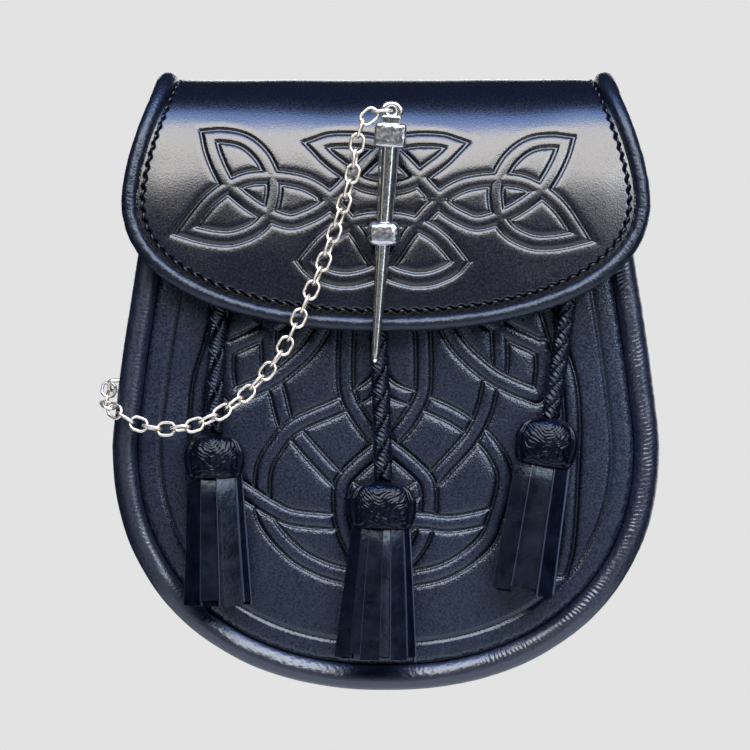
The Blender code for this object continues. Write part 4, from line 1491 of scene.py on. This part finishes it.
def link_mesh(material):
    """A smooth oval link of round wire, with its length along Z and its width along X."""
    radius = (LINK_WIDTH + LINK_GROWTH - DRESSED_WIRE) / 2
    straight = (LINK_LENGTH - LINK_WIDTH) / 2
    wire = DRESSED_WIRE / 2
    bends, section = np.linspace(0.0, math.pi, 15), circle(12)
    points = []
    for end in (1, -1):
        for turn in bends:
            for angle in section:
                reach = radius + wire * math.cos(angle)
                across, along = end * reach * math.cos(turn), end * (straight + reach * math.sin(turn))
                points.append((across, wire * math.sin(angle), along))
    obj = add_mesh("link", points, wrapped_faces(2 * len(bends), len(section)), material)
    mesh = obj.data
    bpy.data.objects.remove(obj)
    return mesh


def out_of_surface(place):
    """The direction away from the pouch at a link beside it."""
    edge = BINDING_RADIUS - BODY_HALF_WIDTH
    inside = Vector((max(place.x, edge), max(place.y, BINDING_DEPTH), place.z))
    return (place - inside).normalized()


def chain_joints():
    """Where each link meets the next, as in part.py."""
    eye = Vector(pin_place((0.0, 0.0, EYE_HEIGHT)))
    route = smooth_route([eye, *CHAIN_ROUTE[1:]])
    first = (LINK_WIRE + GAP) / 2
    return [walk(route, first + i * LINK_PITCH) for i in range(LINK_COUNT + 1)]


def make_chain(material):
    """Links of one mesh, each turned crosswise to the one before."""
    joints = chain_joints()
    mesh = link_mesh(material)
    for i, (start, end) in enumerate(zip(joints, joints[1:])):
        along = (end - start).normalized()
        beside = along.cross(out_of_surface((start + end) / 2)).normalized()
        wide = beside.cross(along) if i % 2 == 0 else beside
        twist = math.radians(LINK_TWIST + TWIST_SWAY * math.sin(SWAY_STEP * i + SWAY_START))
        wide = Matrix.Rotation(twist, 3, along) @ wide
        turn = Matrix((wide, along.cross(wide), along)).transposed()
        link = add_object(f"link_{i + 1:02d}", mesh)
        link.matrix_world = Matrix.Translation((start + end) / 2 * MM) @ turn.to_4x4()
        dress(link, "chain_metal", f"chain_link_{i + 1:02d}")


def make_chain_anchor(material):
    """A wire bar on the gusset that the last link hangs on, with both legs sunk into the leather."""
    before, last = chain_joints()[-2:]
    along = (last - before).normalized()
    bar = last - along * (GAP / 2 + ANCHOR_WIRE_RADIUS)
    inwards = Vector((1.0, 0.0, 0.0))
    beside = along.cross(inwards).normalized()
    foot = GUSSET_INSET - body_half_width(bar.z) - ANCHOR_FOOT_GAP - bar.x + ANCHOR_SUNK
    half = [bar + beside * ANCHOR_HALF_WIDTH + inwards * reach for reach in (foot, ANCHOR_CORNER)]
    for turn in (30, 60, 90):
        angle = math.radians(turn)
        side = ANCHOR_HALF_WIDTH - ANCHOR_CORNER * (1 - math.cos(angle))
        half.append(bar + beside * side + inwards * ANCHOR_CORNER * (1 - math.sin(angle)))
    other = [point - 2 * beside * (point - bar).dot(beside) for point in reversed(half)]
    line = resampled(half + other, 0.25)
    obj = loft("anchor_wire", tube_rings(line, tuple(along), 16, ANCHOR_WIRE_RADIUS), material)
    dress(obj, "chain_metal", "chain_anchor")


# ---------------------------------------------------------------- the tassels

BRAID_PITCHES = {"left": 21.6, "centre": 16.0, "right": 12.6}  # a full turn of the two thongs
BRAID_OFFSET = 1.55
THONG_SIZE = (2.2, 1.45)  # half width, half thickness
RIB_PITCH = 1.0
RIB_HEIGHT = 0.1  # as a share of the thong
THIN_THONG = 0.42
THIN_OFFSET = 2.62
THIN_RISE = 0.45  # how much further out it lies where it crosses over a thick one
BRAID_START = 0.4
THIN_START = 1.0


def wound(line, pitch, phase):
    """The distance along a line, and the directions away from it that wind round it."""
    _, beside, out = frames_along(line, FRONTWARDS)
    reach = lengths_along(line)
    turn = math.tau * reach / pitch + phase
    return reach, np.cos(turn)[:, None] * out + np.sin(turn)[:, None] * beside


def braid_stack(line, pitch, phase):
    """One ribbed thong wound round the cord's line."""
    reach, away = wound(line, pitch, phase)
    centre = line + BRAID_OFFSET * away
    side = unit(np.cross(unit(np.gradient(centre, axis=0)), away))
    angles = circle(20)
    ribs = np.sin(math.tau * reach / RIB_PITCH)[:, None] * (0.6 + 0.4 * np.cos(angles)[None, :])
    wide = THONG_SIZE[0] * np.sin(angles)[None, :] * (1 + RIB_HEIGHT * ribs)
    thick = THONG_SIZE[1] * np.cos(angles)[None, :] * (1 + RIB_HEIGHT * ribs)
    return centre[:, None, :] + side[:, None, :] * wide[:, :, None] + away[:, None, :] * thick[:, :, None]


def thin_stack(line, pitch, phase):
    """A thin thong that crosses over the two thick ones the other way round."""
    reach, away = wound(line, -pitch, phase)
    bulge = THIN_OFFSET + THIN_RISE * np.cos(2 * math.tau * reach / pitch)
    return tube_rings(line + bulge[:, None] * away, (0.3, -1.0, 0.1), 8, THIN_THONG)


def make_braid(side, material):
    """A cord of two thick and two thin thongs, which the tassel's pieces hang on."""
    route = resampled(smooth_route(CORD_ROUTES[side]), 0.12)
    coarse = resampled(route, 0.4)
    pitch = BRAID_PITCHES[side]
    stacks = []
    for half_turn in (0.0, math.pi):
        stacks.append(braid_stack(route, pitch, BRAID_START + half_turn))
        stacks.append(thin_stack(coarse, pitch, THIN_START + half_turn))
    obj = joined_lofts(f"braid_{side}", stacks, material)
    dress(obj, "tassel_leather", f"tassel_cord_{side}")
    path = (resampled(route, 1.5) * MM).tolist()
    length = float(lengths_along(route)[-1]) * MM


def tassel_place(side):
    """Turns points of a tassel, about the top of its head, into places in space."""
    turn = np.array(Matrix.Rotation(TASSELS[side][-1], 3, "Y"))
    top = np.array(CORD_ROUTES[side][-1]) - (0.0, 0.0, KNOT_GAP)
    return lambda points: points @ turn.T + top


KNOT_PROFILE = ((0.0, 0.42), (0.05, 0.64), (0.16, 0.86), (0.4, 1.0), (0.7, 1.0), (0.9, 0.95), (1.0, 0.87))
KNOT_ROWS = 88
KNOT_SIDES = 220
PROFILE_SMOOTHING = 9  # rows
RIDGE_PITCH = 1.25
RIDGE_HEIGHT = 0.34
RIDGE_SLOPE = 0.85
RIDGED_SHARE = 0.84  # of the half width, where the knot's front and back are ridged
ROLL_HEIGHT = 0.7
CREASE_DEPTH = 0.45


def knot_sizes():
    """The knot's size at each row, as a share of its widest one."""
    sizes = np.interp(np.linspace(0.0, 1.0, KNOT_ROWS), *zip(*KNOT_PROFILE))
    padded = np.pad(sizes, PROFILE_SMOOTHING // 2, mode="edge")
    return np.convolve(padded, np.ones(PROFILE_SMOOTHING) / PROFILE_SMOOTHING, mode="valid")[:, None]


def knot_ridges(across, height, slope, seed):
    """Round ridges, from 0 to about 1, that fall towards the knot's middle and wander a little."""
    wander = 0.4 * ripple(across, height, 3.6, seed) + 0.5 * ripple(across, height, 9.0, seed + 1)
    phase = (height - slope) / RIDGE_PITCH + wander
    ridge = np.sqrt(np.clip(1 - (2 * (phase % 1) - 1) ** 2, 0.0, 1.0))
    return ridge * np.clip(0.8 + 0.35 * ripple(across * 1.4, height, 3.0, seed + 2), 0.35, 1.1)


def make_head(side, material):
    """A knot of creased thongs: ridges that fall towards its middle, and smooth rolls at its sides."""
    half_width, length = TASSELS[side][:2]
    down = np.linspace(0.0, 1.0, KNOT_ROWS)[:, None]
    turns = circle(KNOT_SIDES)[None, :]
    side_share = np.abs(np.cos(turns))
    across = half_width * np.cos(turns)
    fall = RIDGE_SLOPE * (1 - smoothstep(0.55, 0.95, down)) * np.abs(across + 0.1 * half_width)
    ridges = knot_ridges(across, -length * down, fall, 31 + len(side))
    ridged = 1 - smoothstep(RIDGED_SHARE - 0.05, RIDGED_SHARE + 0.03, side_share)
    roll = ROLL_HEIGHT * smoothstep(RIDGED_SHARE, 0.94, side_share) * np.sin(math.pi * down) ** 0.6
    crease = CREASE_DEPTH * np.exp(-(((side_share - RIDGED_SHARE - 0.02) / 0.04) ** 2))
    calm = smoothstep(0.02, 0.14, down) * (1 - smoothstep(0.96, 1.0, down))
    swell = calm * (RIDGE_HEIGHT * (ridges * ridged - 0.6) + roll - crease)
    size = knot_sizes()
    rings = np.zeros((KNOT_ROWS, KNOT_SIDES, 3))
    rings[:, :, 0] = (half_width * size + swell) * np.cos(turns)
    rings[:, :, 1] = (HEAD_HALF_DEPTH * size + swell) * np.sin(turns)
    rings[:, :, 2] = -length * down
    obj = loft(f"knot_{side}", tassel_place(side)(rings), material)
    return dress(obj, "tassel_leather", f"tassel_{side}")


# Where each skirt is cut into strips, in degrees round from its front
STRIP_CUTS = {
    "left": (-90, -32, 2, 50, 90, 135, 180, 225),
    "centre": (-88, -42, -25, 3, 18, 48, 72, 105, 145, 180, 215, 245),
    "right": (-75, -24, 24, 70, 110, 155, 200, 242),
}
STRIP_HALF_THICKNESS = 0.45
STRIP_TILT = math.radians(10.0)  # each strip's left edge lies over its neighbour
STRIP_OVERLAP = 1.04
STRIP_ROWS = 40
STRIP_TUCK = 1.5  # how far the strips' tops are drawn in under the knot


def strip_section():
    """A flat strip's section, from -1 to 1 both ways, and how much of the lighter cut-edge colour each point
    takes: all of it on the cut edge, and a little on the face beside it as a painted highlight.
    """
    face = [(-0.93, 1.0), (-0.5, 1.04), (0.0, 1.06), (0.5, 1.04), (0.93, 1.0)]
    edge = [(1.0, 0.35), (1.0, -0.6)]
    half = face + edge
    back = [(-x, -y) for x, y in half]
    cut = [0.35, 0.0, 0.0, 0.0, 0.35, 1.0, 1.0]
    return np.array(half + back), np.array(cut * 2)


def skirt_line(cut, share, top, bottom):
    """A line down the skirt's surface at a cut, flat as seen from above."""
    shallow, deep = SKIRT_HALF_DEPTHS
    half_width = top + (bottom - top) * share
    half_depth = shallow + (deep - shallow) * share - STRIP_TUCK * np.exp(-((share / 0.13) ** 2))
    angle = math.radians(cut)
    flat = np.zeros(len(share))
    return np.column_stack((half_width * math.sin(angle), -half_depth * math.cos(angle), flat))


def strip_rings(cuts, length, sizes, draw):
    """One flat strip that hangs from inside the knot, between two cuts of the skirt."""
    head_length, top, bottom = sizes
    share = np.linspace(0.0, 1.0, STRIP_ROWS) ** 1.25
    left, right = (skirt_line(cut, share, top, bottom) for cut in cuts)
    middle = (left + right) / 2
    middle[:, 2] = STRIP_STARTS_IN_HEAD - head_length - length * share
    half = np.linalg.norm(right - left, axis=1) / 2 * STRIP_OVERLAP
    along = unit(right - left)
    out = np.column_stack((along[:, 1], -along[:, 0], np.zeros(STRIP_ROWS)))
    curl = 0.05 * share * np.sin(2.5 * share + draw.uniform(0, 6)) + share * draw.uniform(-0.05, 0.05)
    tilt = (STRIP_TILT + curl)[:, None]
    flat = along * np.cos(tilt) - out * np.sin(tilt)
    over = out * np.cos(tilt) + along * np.sin(tilt)
    middle += out * (0.22 * share * np.sin(3.0 * share + draw.uniform(0, 6)))[:, None]
    section, cut = strip_section()
    wide = half[:, None] * section[None, :, 0]
    thick = STRIP_HALF_THICKNESS * section[None, :, 1]
    rings = middle[:, None, :] + flat[:, None, :] * wide[:, :, None] + over[:, None, :] * thick[:, :, None]
    return rings, np.tile(cut, STRIP_ROWS)


def make_skirt(side, material):
    """Strips of flat leather that hang from the knot."""
    _, head_length, skirt_length, top, bottom, _ = TASSELS[side]
    draw = np.random.default_rng(SEED + len(side))
    place = tassel_place(side)
    cuts = STRIP_CUTS[side]
    stacks, marks = [], []
    for i, ends in enumerate(zip(cuts, (*cuts[1:], cuts[0] + 360))):
        length = skirt_length + STRIP_STARTS_IN_HEAD + STRIP_END_DROPS[i % len(STRIP_END_DROPS)]
        rings, cut_and_highlight = strip_rings(ends, length, (head_length, top, bottom), draw)
        stacks.append(place(rings))
        marks.append(cut_and_highlight)
    obj = joined_lofts(f"skirt_{side}", stacks, material)
    # Marks the cut edges and the painted highlight beside them, for the material.
    store(obj, "cut", np.concatenate(marks))
    obj.data.set_sharp_from_angle(angle=math.radians(35))
    return dress(obj, "tassel_leather", f"tassel_{side}")


# ---------------------------------------------------------------- the studio


LIGHT_AIM = (0.0, -0.04, 0.0)
SOFTBOXES = {  # place, width and height, watts, colour
    "key": ((0.0, -1.17, 0.98), (1.8, 0.92), 66.0, (1.0, 0.96, 0.92)),
    "sky": ((0.0, -0.65, 1.35), (2.4, 0.46), 32.0, (0.26, 0.46, 1.0)),
    "fill_left": ((-1.2, -1.2, 0.1), (0.24, 1.2), 0.9, (1.0, 0.9, 0.74)),
    "fill_right": ((0.95, -1.3, 0.15), (0.16, 1.1), 2.4, (0.86, 0.93, 1.0)),
    "fill_low": ((0.84, -1.2, 0.54), (0.6, 0.4), 10.5, (0.86, 0.93, 1.0)),
    "fill_front": ((0.0, -1.4, -0.4), (1.8, 0.4), 1.9, (0.86, 0.92, 1.0)),
    "bounce": ((0.0, -0.95, -0.95), (1.8, 0.5), 9.0, (1.0, 0.94, 0.92)),
    "side_right": ((1.2, -0.85, 0.5), (0.45, 0.4), 2.6, (0.5, 0.62, 1.0)),
    "back": ((0.0, 1.6, 0.2), (1.6, 0.6), 12.0, (1.0, 1.0, 1.0)),
    "back_side": ((1.1, 1.2, 0.0), (0.9, 0.9), 5.0, (1.0, 1.0, 1.0)),
}
ROOM = ((0.6, 0.78, 1.0, 1.0), 0.05)  # colour and strength
BACKDROP = ((0.768, 0.768, 0.768, 1.0), 1.0)
FLOOR_RADIUS, FLOOR_HEIGHT = 700.0, -560.0
FLOOR_EDGE = ((-4, -8), (0, -8), (0, -1), (-1, 0))  # further out and up than the floor's radius and height


def add_softbox(name, place, size, power, colour):
    """A rectangular light that is turned towards the pouch."""
    light = bpy.data.lights.new(name, "AREA")
    light.shape = "RECTANGLE"
    light.size, light.size_y = size
    light.energy = power
    light.color = colour
    obj = add_object(name, light)
    obj.location = place
    obj.rotation_euler = (Vector(LIGHT_AIM) - Vector(place)).to_track_quat("-Z", "Y").to_euler()


def make_camera():
    """Level, in front of the pouch and far away, as the photograph was taken."""
    data = bpy.data.cameras.new("photo_camera")
    data.sensor_width = SENSOR
    data.lens = SENSOR * CAMERA_DISTANCE / (PHOTO_SIDE * PIXEL)
    data.clip_end = 50.0
    across, height = on_front([(PHOTO_SIDE / 2, PHOTO_SIDE / 2)])[0]
    camera = add_object("photo_camera", data)
    camera.location = Vector((across, VIEW_DEPTH - CAMERA_DISTANCE, height)) * MM
    camera.rotation_euler = (math.pi / 2, 0.0, 0.0)
    bpy.context.scene.camera = camera


def make_world():
    """A plain pale backdrop for the camera, and a dimmer room for the pouch to reflect."""
    world = bpy.data.worlds.new("studio")
    bpy.context.scene.world = world
    world.use_nodes = True
    nodes, links = world.node_tree.nodes, world.node_tree.links
    nodes.clear()
    seen = nodes.new("ShaderNodeLightPath")
    mix = nodes.new("ShaderNodeMixShader")
    links.new(seen.outputs["Is Camera Ray"], mix.inputs["Fac"])
    for i, (colour, strength) in enumerate((ROOM, BACKDROP)):
        shade = nodes.new("ShaderNodeBackground")
        shade.inputs["Color"].default_value = colour
        shade.inputs["Strength"].default_value = strength
        links.new(shade.outputs["Background"], mix.inputs[i + 1])
    output = nodes.new("ShaderNodeOutputWorld")
    links.new(mix.outputs["Shader"], output.inputs["Surface"])


def make_floor():
    """A pale round floor, well below the hanging pouch."""
    rings = []
    for out, up in FLOOR_EDGE:
        size = FLOOR_RADIUS + out
        rings.append([(size * math.cos(t), size * math.sin(t), FLOOR_HEIGHT + up) for t in circle(96)])
    finish = Finish("pale_floor")
    grain = finish.noise(60.0, 3.0)
    finish.feed("Base Color", finish.mixed(grain, (0.74, 0.74, 0.74), (0.78, 0.78, 0.78)))
    finish.feed("Roughness", 0.8)
    floor = loft("studio_floor", np.array(rings), finish.material, smooth=False)


def make_studio():
    make_camera()
    make_world()
    make_floor()
    bpy.context.scene.view_settings.view_transform = "Standard"
    for name, softbox in SOFTBOXES.items():
        add_softbox(name, *softbox)


def main():
    make_studio()
    leathers = {name: leather(f"{name}_leather", **look) for name, look in BLACK_LEATHERS.items()}
    strips, knots = (strip_leather(f"{name}_leather", **look) for name, look in STRIP_LEATHERS.items())
    polished, satin, wire = (metal(name, **look) for name, look in METALS.items())
    thread = waxed_thread()
    for side in CORD_ROUTES:
        pieces = [make_head(side, knots), make_skirt(side, strips)]
        make_braid(side, strips)
    shape = make_flap(leathers["flap"], thread)
    make_flap_piping(shape, leathers["piping"])
    make_front_panel(leathers["panel"])
    make_body_binding(leathers["binding"])
    make_back_panel(leathers["plain"], thread)
    make_gusset(leathers["plain"])
    make_belt_loop(leathers["plain"], thread)
    make_clasp_pin(polished, satin)
    make_staple(satin)
    make_chain(wire)
    make_chain_anchor(wire)


main()
